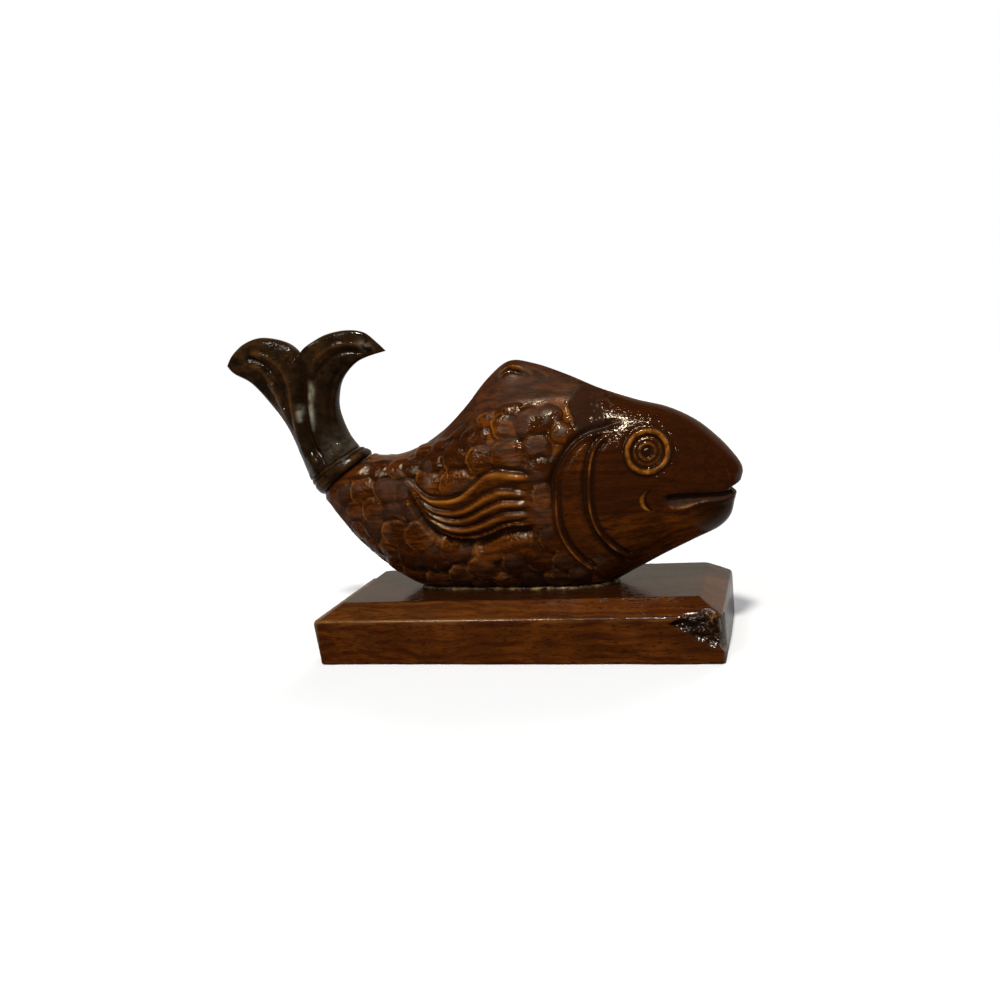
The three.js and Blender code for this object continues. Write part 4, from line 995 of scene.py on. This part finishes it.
def tail_relief(x, z, seed):
    """Height of the tail's carving in millimetres, with gold, dark, pale and knifed masks: a deep split
    between two strands, with ridges and grooves that leave the foot along each strand and turn out along
    its lobe, worn places, and two pale streaks painted as sheen beside the split. The dark mask is painted
    shade in the split and the grooves. Each is a bell of the distance to its line, faded at the line's ends."""
    places = np.stack([x, 0 * x, z], -1)
    split, run = line_field(x, z, TAIL_SPLIT)
    open_split = smooth(0, 0.3, run) * (1 - 0.5 * smooth(0.75, 1, run))
    height = -2.4 * hump(split, 1.7) * (0.35 + 0.65 * open_split)
    height += 0.8 * hump(np.abs(split) - 5.0, 3.0)
    # Painted shade in the split, deepest where it is open.
    dark = (0.4 + 0.6 * open_split) * hump(split, 1.5)
    gold, pale = np.zeros((2, *x.shape))
    for line in TAIL_RIDGES:
        apart, run = line_field(x, z, line, 40)
        span = between(run, 0, 0.25, 0.88, 1)
        height += 0.6 * span * hump(apart, 1.2)
        gold += 0.5 * span * hump(apart, 0.8)
    for line in TAIL_GROOVES:
        apart, run = line_field(x, z, line, 40)
        span = between(run, 0, 0.25, 0.85, 1)
        height -= 0.85 * span * hump(apart, 1.1)
        # Painted shade in the grooves.
        dark += 0.6 * span * hump(apart, 1.0)
    broken = 0.25 + 0.75 * smooth(-0.4, 0.2, rough(places, 2.2, seed))
    # Painted sheen: two pale streaks beside the split.
    for line in PAINTED_TAIL_SHEEN:
        apart, run = line_field(x, z, line, 30)
        pale += hump(apart, 1.25) * between(run, 0, 0.2, 0.7, 1) * broken
    tip = np.hypot(0.8 * (x - 21.8), z - 50.4 + 0.5 * (x - 21.8))
    pale += 0.7 * hump(tip, 2.0) * smooth(-0.3, 0.2, rough(places, 1.6, seed + 3))
    height += 0.2 * rough(places * (1, 1, 0.45), 4, seed + 1) + 0.07 * rough(places, 1.6, seed + 2)
    gold += 0.35 * smooth(0.1, 0.8, rough(places * (1, 1, 0.5), 6, seed + 4))
    side, run = line_field(x, z, TAIL_NICKS, 30)
    knifed = hump(side, 2.2) * between(run, 0, 0.15, 0.85, 1) + 0.6 * smooth(14, 8, z)
    height += 0.3 * knifed * rough(places, 1.7, seed + 5)
    freckle = smooth(-0.3, 0.4, rough(places, 1.5, seed + 6))
    pale += smooth(20, 8, z) * smooth(-3, 3, x) * (0.07 + 0.1 * freckle)
    return height, gold, dark, pale, np.clip(0.35 + knifed, 0, 1.2)


def tail_grid(sizes):
    """The outline patch thickened to two faces: half the thickness falls from foot to blade, and to nothing
    at the side edges by a circle and at the lobes by a steep root. The carving is added along Y inside the
    edge."""
    up = np.sin(np.linspace(0, math.pi / 2, TAIL_ROWS))[:, None]
    angle = np.linspace(0, math.pi, TAIL_COLUMNS + 1)[None]
    across, up = np.broadcast_arrays((1 - np.cos(angle)) / 2, up)
    place = tail_patch(sizes, across, up)
    x, z = place[..., 0], place[..., 1]
    side = np.sqrt(np.maximum(0, 1 - (2 * across - 1) ** 2))
    brow = np.sqrt(np.maximum(0, 1 - up ** 8))
    plain = mixed(FOOT_WIDTH, BLADE_WIDTH, np.minimum(1, 1.6 * up) ** 0.7) / 2 * side * brow
    rim = smooth(0, 0.55, side * brow)
    end = smooth(0, 2.2, walked(place[:, TAIL_COLUMNS // 2]) / MM)[:, None]
    faces = []
    for turn, seed in ((-1, 80), (1, 90)):
        height, gold, dark, pale, knifed = tail_relief(x / MM, z / MM, seed)
        half = plain + np.maximum(height * rim * MM, -0.5 * plain) - 0.9 * MM * (1 - end) ** 2 * side
        hollows = blurred(height, 8) - height
        # Painted shade in the hollows and at the foot's end, where the tail meets the collar.
        dark = np.clip(dark + 0.7 * smooth(0.1, 0.6, hollows) + (1 - end), 0, 1)
        gold = np.clip(gold + 0.4 * smooth(0.1, 0.5, -hollows), 0, 1) * rim
        faces.append((np.stack([x, turn * half, z], -1), gold, dark, pale, knifed))
    foot = foot_centre(sizes)
    grid, *masks = (np.concatenate([one, other[:, -2:0:-1]], 1) for one, other in zip(*faces))
    grid = grid + (foot[0], 0, foot[1] + sizes.plinth_height)
    return grid, dict(zip(("gold", "dark", "pale", "knifed"), masks))


# Glue line

def glue_grid(sizes):
    """A bead of uneven radius carried round the outline where the body meets the plinth: a flattened circle
    at each point of the path, in the plane of the path's outward normal and Z."""
    flank, _, _ = flank_grid(sizes)
    rows = flank[flank[:, 0, 2] < SEAT_LEVEL]
    seat = np.array([[np.interp(SEAT_LEVEL, row[:, 2], row[:, i]) for i in range(2)] for row in rows])
    seat = seat[seat[:, 1] > SEAT_LEAST]
    closed = np.concatenate([seat * (1, -1), seat[::-1], seat[:1] * (1, -1)])
    length = walked(closed)
    even = np.linspace(0, length[-1], BEAD_STEPS, endpoint=False)
    path = np.column_stack([np.interp(even, length, closed[:, i]) for i in range(2)])
    step = np.roll(path, -1, axis=0) - np.roll(path, 1, axis=0)
    out = np.column_stack([step[:, 1], -step[:, 0]])
    out /= np.linalg.norm(out, axis=1, keepdims=True)
    path = path + out * GLUE_REACH
    places = np.column_stack([path / MM, 0 * even])
    radius = sizes.glue_bead * (1 + 0.4 * rough(places, 3.2, 60) + 0.3 * rough(places, 1.4, 61))
    angle = np.linspace(0, 2 * math.pi, BEAD_SIDES, endpoint=False)
    around = path[:, None] + out[:, None] * (radius[:, None] * np.cos(angle))[..., None]
    rise = sizes.plinth_height + BEAD_LIFT + 0.8 * radius[:, None] * np.sin(angle)
    ring = np.concatenate([around, rise[..., None]], 2)
    return np.concatenate([ring, ring[:1]]), {}


# Shader pieces

def add(tree, kind, inputs=None, **settings):
    """Adds a node, sets its options, and sets or links its inputs by name or number."""
    made = tree.nodes.new(kind)
    for key, value in settings.items():
        setattr(made, key, value)
    for key, value in (inputs or {}).items():
        join(tree, value, made.inputs[key])
    return made


def join(tree, value, socket):
    """Links an output to a socket, or sets the socket's own value."""
    if isinstance(value, bpy.types.NodeSocket):
        tree.links.new(value, socket)
    elif hasattr(value, "__len__") and len(value) == 3 and socket.type == "RGBA":
        socket.default_value = (*value, 1)
    else:
        socket.default_value = value


def blend(tree, share, first, second):
    """Colour mix of two colours by a share."""
    made = add(tree, "ShaderNodeMix", data_type="RGBA")
    sockets = {socket.identifier: socket for socket in made.inputs}
    join(tree, share, sockets["Factor_Float"])
    join(tree, first, sockets["A_Color"])
    join(tree, second, sockets["B_Color"])
    return next(socket for socket in made.outputs if socket.identifier == "Result_Color")


def sums(tree, operation, first, second=0.0, clamp=False):
    """A value worked out from two values by an operation."""
    inputs = {0: first, 1: second}
    return add(tree, "ShaderNodeMath", inputs, operation=operation, use_clamp=clamp).outputs[0]


def times(tree, first, second, clamp=False):
    """Product of two values."""
    return sums(tree, "MULTIPLY", first, second, clamp)


def vectors(tree, operation, first, second):
    """A vector worked out from two vectors by an operation."""
    return add(tree, "ShaderNodeVectorMath", {0: first, 1: second}, operation=operation).outputs[0]


def mask(tree, name):
    """One of the piece's point masks."""
    return add(tree, "ShaderNodeAttribute", attribute_name=name).outputs["Fac"]


def object_place(tree):
    """The place on the piece, in its own frame."""
    return add(tree, "ShaderNodeTexCoord").outputs["Object"]


def noise(tree, place, scale, detail, roughness=0.5):
    """Noise over a place, as a value."""
    inputs = {"Vector": place, "Scale": scale, "Detail": detail, "Roughness": roughness}
    return add(tree, "ShaderNodeTexNoise", inputs).outputs[0]


def spread(tree, value, low, high, to_low=0.0, to_high=1.0):
    """A value eased from one range to another by a smooth step."""
    inputs = {"Value": value, "From Min": low, "From Max": high, "To Min": to_low, "To Max": to_high}
    return add(tree, "ShaderNodeMapRange", inputs, interpolation_type="SMOOTHSTEP").outputs["Result"]


def stretched(tree, place, length, width):
    """Places divided by a length along X and a width across it."""
    size = add(tree, "ShaderNodeCombineXYZ", {"X": length, "Y": width, "Z": width})
    return vectors(tree, "DIVIDE", place, size.outputs[0])


def new_group(name, inputs, outputs, kind="NodeSocketFloat"):
    """An empty shader group, its inputs given as labels with defaults and its outputs as labels of one
    kind."""
    group = bpy.data.node_groups.new(name, "ShaderNodeTree")
    for label, value in inputs.items():
        taken = "NodeSocketFloat" if isinstance(value, float) else "NodeSocketColor"
        group.interface.new_socket(label, in_out="INPUT", socket_type=taken).default_value = value
    for label in outputs:
        group.interface.new_socket(label, in_out="OUTPUT", socket_type=kind)
    return group, group.nodes.new("NodeGroupInput").outputs, group.nodes.new("NodeGroupOutput").inputs


def group_node(tree, name, build, inputs):
    """Places a shared shader group, built when it is first asked for, and sets or links its inputs."""
    group = bpy.data.node_groups.get(name) or build(name)
    return add(tree, "ShaderNodeGroup", inputs, node_tree=group).outputs


def grain_group(name):
    """Wood grain: streaks along X that wander, broad patches, and fine pores drawn out along X."""
    sizes = {"Streak Length": 0.05, "Streak Width": 0.004, "Pore Size": 0.0007, "Wander": 0.006}
    group, given, out = new_group(name, sizes, ("Streaks", "Patches", "Pores"))
    place = object_place(group)
    drift = add(group, "ShaderNodeTexNoise", {"Vector": place, "Scale": 28.0, "Detail": 2.0})
    centred = vectors(group, "SUBTRACT", drift.outputs["Color"], (0.5, 0.5, 0.5))
    wander = vectors(group, "ADD", place, vectors(group, "MULTIPLY", centred, given["Wander"]))
    long = stretched(group, wander, given["Streak Length"], given["Streak Width"])
    fine = stretched(group, place, times(group, given["Pore Size"], 5.0), given["Pore Size"])
    streaks = noise(group, long, 1.0, 6.0, 0.62)
    patches = noise(group, wander, 55.0, 3.0)
    pores = noise(group, fine, 1.0, 2.0)
    join(group, spread(group, streaks, 0.34, 0.66), out["Streaks"])
    join(group, spread(group, patches, 0.35, 0.65), out["Patches"])
    join(group, spread(group, pores, 0.52, 0.70), out["Pores"])
    return group


def cut_group(name):
    """Colour of cut wood: golden where the gold mask is set, stain and painted shade where the dark one is,
    pale wear and painted sheen where the pale one is."""
    colours = {"Wood": (0.1, 0.04, 0.01, 1), "Gold": (0.4, 0.15, 0.02, 1), "Groove stain and shade": (0.02, 0.01, 0.01, 1),
               "Scuff and sheen": (0.2, 0.2, 0.2, 1), "Breakup": 0.5}
    group, given, out = new_group(name, colours, ("Colour",), "NodeSocketColor")
    dark = mask(group, "dark")
    broken = spread(group, given["Breakup"], 0.0, 1.0, 0.55, 1.0)
    # The dark mask gives stain and painted shade.
    stained_and_shaded = blend(group, times(group, dark, 0.85, True), given["Wood"], given["Groove stain and shade"])
    lifted = sums(group, "SUBTRACT", mask(group, "gold"), times(group, dark, 0.75, True), True)
    golden = blend(group, times(group, lifted, broken, True), stained_and_shaded, given["Gold"])
    # The pale mask gives worn places and painted sheen.
    scuffed_and_sheened = blend(group, times(group, mask(group, "pale"), broken, True), golden, given["Scuff and sheen"])
    join(group, scuffed_and_sheened, out["Colour"])
    return group


def varnish_group(name):
    """Hand-brushed varnish: a fine orange-peel height over sunken pores, and a gloss that varies in
    patches."""
    values = {"Pores": 0.0, "Grain Size": 0.0008, "Glossy": 0.15, "Dull": 0.4}
    group, given, out = new_group(name, values, ("Height", "Roughness"))
    place = object_place(group)
    fine = stretched(group, place, times(group, given["Grain Size"], 1.5), given["Grain Size"])
    peel = noise(group, fine, 1.0, 1.0)
    join(group, sums(group, "SUBTRACT", peel, times(group, given["Pores"], 0.6)), out["Height"])
    share = spread(group, noise(group, place, 140.0, 2.0), 0.35, 0.7)
    reach = sums(group, "SUBTRACT", given["Dull"], given["Glossy"])
    join(group, sums(group, "ADD", given["Glossy"], times(group, share, reach)), out["Roughness"])
    return group


def new_material(name):
    """A material with a Principled shader, as material, node tree and shader."""
    material = bpy.data.materials.new(name)
    material.use_nodes = True
    tree = material.node_tree
    tree.nodes.clear()
    shader = add(tree, "ShaderNodeBsdfPrincipled")
    add(tree, "ShaderNodeOutputMaterial", {"Surface": shader.outputs[0]})
    return material, tree, shader


def finish_surface(tree, shader, colour, pores, peel, bump, gloss, nicked=0.0):
    """Puts a colour under a brushed finish: pores, orange peel and chisel nicks as bump, and gloss
    between two values. The nicks show where the piece's knifed mask is set, nicked times as high as the
    peel, and its dull mask takes the gloss away."""
    inputs = {"Pores": pores, "Grain Size": peel, "Glossy": gloss[0], "Dull": gloss[1]}
    varnish = group_node(tree, "Brushed varnish", varnish_group, inputs)
    height = varnish["Height"]
    if nicked:
        nicks = noise(tree, object_place(tree), NICKS_PER_METRE, 1.0)
        chips = times(tree, nicks, times(tree, mask(tree, "knifed"), nicked))
        height = sums(tree, "ADD", height, chips)
    raised = add(tree, "ShaderNodeBump", {"Height": height, "Strength": 1.0, "Distance": bump})
    roughness = sums(tree, "ADD", varnish["Roughness"], times(tree, mask(tree, "dull"), 0.6))
    join(tree, colour, shader.inputs["Base Color"])
    join(tree, roughness, shader.inputs["Roughness"])
    join(tree, raised.outputs[0], shader.inputs["Normal"])


def grain_node(tree, length, width, pore, wander):
    """The wood grain group placed in a material with its own sizes."""
    sizes = {"Streak Length": length, "Streak Width": width, "Pore Size": pore, "Wander": wander}
    return group_node(tree, "Wood grain", grain_group, sizes)


def cut_node(tree, wood, breakup, colours, gold):
    """The chisel cuts group placed in a material over its wood colour."""
    inputs = {"Wood": wood, "Breakup": breakup, "Gold": gold}
    inputs.update({"Groove stain and shade": colours.groove, "Scuff and sheen": colours.scuff_and_sheen})
    return group_node(tree, "Chisel cuts", cut_group, inputs)["Colour"]


def grown_wood(tree, grain, dark, light, depth):
    """Wood colour: light streaks in dark wood, drawn towards the dark by depth outside the patches."""
    wood = blend(tree, grain["Streaks"], dark, light)
    return blend(tree, grain["Patches"], blend(tree, depth, wood, dark), wood)


def eye_rings(tree, sizes):
    """Gold share of the rings round the eye: a soft band at each radius from the eye's axis across the
    body."""
    place = object_place(tree)
    flat = vectors(tree, "MULTIPLY", place, (1, 0, 1))
    centre = flank_place(EYE, sizes)
    away = add(tree, "ShaderNodeVectorMath", {0: flat, 1: centre}, operation="DISTANCE").outputs["Value"]
    total = 0.0
    for radius, width, share in ((EYE_RING, 1.2, 0.78), (3.2, 0.7, 0.22), (5.2, 0.7, 0.15)):
        off = sums(tree, "ABSOLUTE", sums(tree, "SUBTRACT", away, radius * MM))
        total = sums(tree, "ADD", total, spread(tree, off, 0.4 * width * MM, width * MM, share, 0.0))
    worn = noise(tree, place, RING_WEAR_PER_METRE, 2.0)
    return times(tree, total, spread(tree, worn, 0.35, 0.62, 0.25, 1.0))


def carved_wood(colours, sizes):
    """Varnished red-brown wood of the body, golden in its cuts."""
    material, tree, shader = new_material("varnished_red_wood")
    grain = grain_node(tree, length=0.03, width=0.0022, pore=0.0006, wander=0.01)
    light = blend(tree, mask(tree, "warm"), colours.flank_red, colours.flank_light)
    wood = grown_wood(tree, grain, colours.flank_dark, light, 0.5)
    wood = blend(tree, times(tree, grain["Pores"], 0.7), wood, colours.groove)
    colour = cut_node(tree, wood, grain["Streaks"], colours, colours.gold)
    colour = blend(tree, eye_rings(tree, sizes), colour, colours.gold)
    finish_surface(tree, shader, colour, grain["Pores"],
                   peel=0.0006, bump=0.00005, gloss=(0.05, 0.10), nicked=4.5)
    shader.inputs["Specular IOR Level"].default_value = 0.26
    shader.inputs["Specular Tint"].default_value = (1, 0.82, 0.62, 1)
    return material


def dark_wood(colours):
    """Varnished dark wood of the tail and collar."""
    material, tree, shader = new_material("varnished_dark_wood")
    grain = grain_node(tree, length=0.005, width=0.004, pore=0.0006, wander=0.006)
    wood = grown_wood(tree, grain, colours.tail_dark, colours.tail_light, 0.6)
    colour = cut_node(tree, wood, grain["Streaks"], colours, colours.tail_gold)
    finish_surface(tree, shader, colour, grain["Pores"],
                   peel=0.0007, bump=0.00005, gloss=(0.06, 0.12), nicked=4.5)
    shader.inputs["Specular IOR Level"].default_value = 0.25
    return material


def plank_wood(colours):
    """Varnished plank: long grain, the top darkened as painted shade, gold on the worn ridge and as painted
    light on the chamfer, a black glossy knot, and sawn ends of grey end grain under a painted reflection."""
    material, tree, shader = new_material("varnished_plank")
    grain = grain_node(tree, length=0.055, width=0.0022, pore=0.0006, wander=0.012)
    wood = grown_wood(tree, grain, colours.plank_dark, colours.plank_light, 0.5)
    wood = blend(tree, times(tree, grain["Pores"], 0.8), wood, colours.groove)
    # Painted shade: the top is darkened towards the groove colour.
    wood = blend(tree, times(tree, mask(tree, "top"), 0.75), wood, colours.groove)
    # Sawn ends: grey end grain with a painted reflection of the bright surroundings over it.
    sawn = blend(tree, grain["Patches"], colours.sawn_dark_and_sheen, colours.sawn_light_and_sheen)
    wood = blend(tree, times(tree, mask(tree, "saw"), 0.75), wood, sawn)
    place = object_place(tree)
    specks = noise(tree, place, SPECKS_PER_METRE, 2.0)
    right = add(tree, "ShaderNodeSeparateXYZ", {0: place}).outputs["X"]
    ember = sums(tree, "ADD", specks, spread(tree, right, 0.072, 0.085, -0.07, 0.10))
    burnt = blend(tree, spread(tree, ember, 0.56, 0.68), colours.knot_dark, colours.knot_light)
    wood = blend(tree, times(tree, mask(tree, "knot"), 0.97), wood, burnt)
    colour = cut_node(tree, wood, grain["Streaks"], colours, colours.plank_gold_wear_and_light)
    finish_surface(tree, shader, colour, grain["Pores"],
                   peel=0.0009, bump=0.00005, gloss=(0.08, 0.18), nicked=9.0)
    return material


def glue_finish(colours):
    """Clear brown bead of glue and varnish."""
    material, tree, shader = new_material("varnish_bead")
    grain = grain_node(tree, length=0.004, width=0.002, pore=0.0005, wander=0.002)
    colour = blend(tree, grain["Streaks"], colours.groove, colours.bead)
    finish_surface(tree, shader, colour, grain["Pores"], peel=0.0006, bump=0.0004, gloss=(0.05, 0.15))
    return material


def dowel_wood(colours):
    """Plain turned wood, without varnish."""
    material, tree, shader = new_material("plain_dowel_wood")
    grain = grain_node(tree, length=0.02, width=0.0012, pore=0.0003, wander=0.003)
    colour = blend(tree, grain["Streaks"], 0.6 * colours.dowel, colours.dowel)
    finish_surface(tree, shader, colour, grain["Pores"], peel=0.0004, bump=0.00008, gloss=(0.5, 0.7))
    return material


def screw_steel(colours):
    """Plain steel with fine turning marks and darker patches."""
    material, tree, shader = new_material("plain_screw_steel")
    grain = grain_node(tree, length=0.0006, width=0.004, pore=0.0003, wander=0.0005)
    colour = blend(tree, grain["Patches"], 0.45 * colours.steel, colours.steel)
    finish_surface(tree, shader, colour, grain["Streaks"], peel=0.0005, bump=0.00004, gloss=(0.24, 0.45))
    shader.inputs["Metallic"].default_value = 1.0
    return material


# Operators

class FISH_OT_plinth_block(bpy.types.Operator):
    """Build the chamfered plinth with its plane marks, sawn ends and knot"""

    bl_idname = "fish.plinth_block"
    bl_label = "Plinth block"

    def execute(self, context):
        finish = plank_wood(context.scene.fish_colours)
        make_piece("plinth_block", plinth_grid(context.scene.fish_sizes), finish, "plinth")
        return {"FINISHED"}


class FISH_OT_carved_body(bpy.types.Operator):
    """Build the fish's body with its scales, gill, eye, side fin and mouth"""

    bl_idname = "fish.carved_body"
    bl_label = "Carved body"

    def execute(self, context):
        sizes = context.scene.fish_sizes
        finish = carved_wood(context.scene.fish_colours, sizes)
        make_piece("carved_body", body_grid(sizes), finish, "fish_body", caps=(0, -1))
        return {"FINISHED"}


class FISH_OT_tail_pieces(bpy.types.Operator):
    """Build the collar band and the forked tail"""

    bl_idname = "fish.tail_pieces"
    bl_label = "Collar and tail"

    def execute(self, context):
        sizes = context.scene.fish_sizes
        finish = dark_wood(context.scene.fish_colours)
        make_piece("collar_band", collar_grid(sizes), finish, "tail_collar", caps=(0, -1))
        make_piece("forked_tail", tail_grid(sizes), finish, "tail_fin", caps=(0,))
        return {"FINISHED"}


class FISH_OT_glue_line(bpy.types.Operator):
    """Build the bead of glue and varnish round the fish's seat"""

    bl_idname = "fish.glue_line"
    bl_label = "Glue line"

    def execute(self, context):
        finish = glue_finish(context.scene.fish_colours)
        make_piece("glue_bead", glue_grid(context.scene.fish_sizes), finish)
        return {"FINISHED"}


class FISH_OT_fixings(bpy.types.Operator):
    """Finish the dowel and the two screws inside"""

    bl_idname = "fish.fixings"
    bl_label = "Dowel and screws"

    def execute(self, context):
        steel = screw_steel(context.scene.fish_colours)
        wood = dowel_wood(context.scene.fish_colours)
        finishes = {"tail_dowel": wood, "plinth_screw_front": steel, "plinth_screw_rear": steel}
        for node, finish in finishes.items():
            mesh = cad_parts[node].data
            mesh.materials.clear()
            mesh.materials.append(finish)
        return {"FINISHED"}


class FISH_OT_stage(bpy.types.Operator):
    """Set the pale floor, the backdrop, the lamps and the camera"""

    bl_idname = "fish.stage"
    bl_label = "Stage"

    def execute(self, context):
        values = context.scene.fish_stage
        set_room(context.scene, values)
        set_floor(values)
        set_backdrop(values)
        set_lamps(context.scene, values)
        set_camera(context.scene)
        context.scene.view_settings.view_transform = "Standard"
        return {"FINISHED"}


# Stage

def ray_share(tree, camera, mirror, rest):
    """One number for rays from the camera or through glass, one for mirrored rays and one for diffuse
    ones."""
    path = add(tree, "ShaderNodeLightPath").outputs
    seen = sums(tree, "ADD", path["Is Camera Ray"], path["Is Transmission Ray"], True)
    value = sums(tree, "ADD", times(tree, seen, camera), times(tree, path["Is Glossy Ray"], mirror))
    return sums(tree, "ADD", value, times(tree, path["Is Diffuse Ray"], rest))


def set_room(scene, values):
    """Light all round: white to the camera, dim in reflections, and the room's light on the wood."""
    world = bpy.data.worlds.new("room")
    world.use_nodes = True
    tree = world.node_tree
    tree.nodes.clear()
    strength = ray_share(tree, 1.0, 0.05 * values.mirrored_white, values.room_light)
    light = add(tree, "ShaderNodeBackground", {"Color": ROOM_COLOUR, "Strength": strength})
    add(tree, "ShaderNodeOutputWorld", {"Surface": light.outputs[0]})
    scene.world = world


def flat_sheet(name, corners, finish):
    """A sheet through four corners: points shared out between them in even steps both ways."""
    first, second, third, fourth = np.array(corners, float)
    share = np.linspace(0, 1, SHEET_POINTS)
    low = mixed(first, second, share[:, None])
    high = mixed(fourth, third, share[:, None])
    points = mixed(low[None], high[None], share[:, None, None])
    step = np.arange(SHEET_POINTS - 1)
    start = (step[:, None] * SHEET_POINTS + step[None]).ravel()
    faces = np.stack([start, start + 1, start + SHEET_POINTS + 1, start + SHEET_POINTS], -1)
    mesh = bpy.data.meshes.new(name)
    mesh.from_pydata(points.reshape(-1, 3).tolist(), [], faces.tolist())
    mesh.materials.append(finish)
    sheet = bpy.data.objects.new(name, mesh)
    bpy.context.scene.collection.objects.link(sheet)
    return sheet


def set_floor(values):
    """A pale floor that keeps the shadow, dark in reflections in front of the fish."""
    material, tree, shader = new_material("pale_floor")
    depth = add(tree, "ShaderNodeSeparateXYZ", {0: object_place(tree)}).outputs["Y"]
    tone = ray_share(tree, 0.97, spread(tree, depth, -0.04, 0.0, 0.02, values.mirrored_white), 0.3)
    join(tree, tone, shader.inputs["Base Color"])
    shader.inputs["Roughness"].default_value = 0.9
    shader.inputs["Specular IOR Level"].default_value = 0.0
    flat_sheet("floor", FLOOR_CORNERS, material)


def set_backdrop(values):
    """A glowing backdrop behind the fish, white to the camera and warm in the varnish, that casts no
    shadow."""
    material, tree, shader = new_material("pale_backdrop")
    shader.inputs["Base Color"].default_value = (0, 0, 0, 1)
    shader.inputs["Specular IOR Level"].default_value = 0.0
    seen = add(tree, "ShaderNodeLightPath").outputs["Is Camera Ray"]
    join(tree, blend(tree, seen, MIRRORED_COLOUR, (1, 1, 1)), shader.inputs["Emission Color"])
    glow = ray_share(tree, 1.0, values.mirrored_white, values.mirrored_white)
    join(tree, glow, shader.inputs["Emission Strength"])
    sheet = flat_sheet("backdrop", BACKDROP_CORNERS, material)
    sheet.visible_shadow = False


def set_lamps(scene, values):
    """Soft lights from above: one in front and one over the tail, whose glints show in the varnish, and a
    broad one from behind that lights the far side without a glint."""
    lamps = (
        ("key_light", values.key_strength, 6, (0.0, 0.55, -0.835)),
        ("side_light", values.side_strength, 10, (0.3, 0.62, -0.72)),
        ("back_light", values.back_strength, 30, (-0.15, -0.75, -0.65)),
    )
    for name, strength, angle, towards in lamps:
        lamp = bpy.data.lights.new(name, "SUN")
        lamp.energy = strength
        lamp.color = LAMP_COLOUR
        lamp.angle = math.radians(angle)
        holder = bpy.data.objects.new(name, lamp)
        turn = Vector(towards).to_track_quat("-Z", "Y").to_matrix().to_4x4()
        holder.matrix_world = Matrix.Translation(-2 * Vector(towards)) @ turn
        holder.visible_glossy = name != "back_light"
        scene.collection.objects.link(holder)


def set_camera(scene):
    """The view of the fish from its right, a little from above, with the camera rolled slightly."""
    yaw, pitch, roll = (math.radians(value) for value in CAMERA_TURN)
    ahead = Vector((-math.sin(yaw) * math.cos(pitch), math.cos(yaw) * math.cos(pitch), -math.sin(pitch)))
    level = Vector((math.cos(yaw), math.sin(yaw), 0))
    above = level.cross(ahead)
    right = math.cos(roll) * level + math.sin(roll) * above
    up = math.cos(roll) * above - math.sin(roll) * level
    camera = bpy.data.cameras.new("camera")
    camera.sensor_width = SENSOR_WIDTH
    camera.lens = CAMERA_LENS
    camera.clip_start = 0.01
    holder = bpy.data.objects.new("camera", camera)
    turn = Matrix((right, up, -ahead)).transposed().to_4x4()
    holder.matrix_world = Matrix.Translation(CAMERA_PLACE) @ turn
    scene.collection.objects.link(holder)
    scene.camera = holder


class FISH_PT_panel(bpy.types.Panel):
    """Lists the steps that build the ornament"""

    bl_idname = "FISH_PT_panel"
    bl_label = "Carved fish"
    bl_space_type = "VIEW_3D"
    bl_region_type = "UI"
    bl_category = "Fish"

    def draw(self, context):
        for step in STEPS:
            self.layout.operator(step.bl_idname)
        for group in (context.scene.fish_sizes, context.scene.fish_colours, context.scene.fish_stage):
            box = self.layout.box()
            for key in group.__annotations__:
                box.prop(group, key)


STEPS = (
    FISH_OT_plinth_block,
    FISH_OT_carved_body,
    FISH_OT_tail_pieces,
    FISH_OT_glue_line,
    FISH_OT_fixings,
    FISH_OT_stage,
)
GROUPS = (FishSizes, FishColours, FishStage)


def register():
    for entry in (*GROUPS, *STEPS, FISH_PT_panel):
        bpy.utils.register_class(entry)
    bpy.types.Scene.fish_sizes = PointerProperty(type=FishSizes)
    bpy.types.Scene.fish_colours = PointerProperty(type=FishColours)
    bpy.types.Scene.fish_stage = PointerProperty(type=FishStage)


def unregister():
    del bpy.types.Scene.fish_stage
    del bpy.types.Scene.fish_colours
    del bpy.types.Scene.fish_sizes
    for entry in reversed((*GROUPS, *STEPS, FISH_PT_panel)):
        bpy.utils.unregister_class(entry)


def main():
    """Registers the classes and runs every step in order."""
    register()
    bpy.ops.fish.plinth_block()
    bpy.ops.fish.carved_body()
    bpy.ops.fish.tail_pieces()
    bpy.ops.fish.glue_line()
    bpy.ops.fish.fixings()
    bpy.ops.fish.stage()


if __name__ == "__main__":
    main()
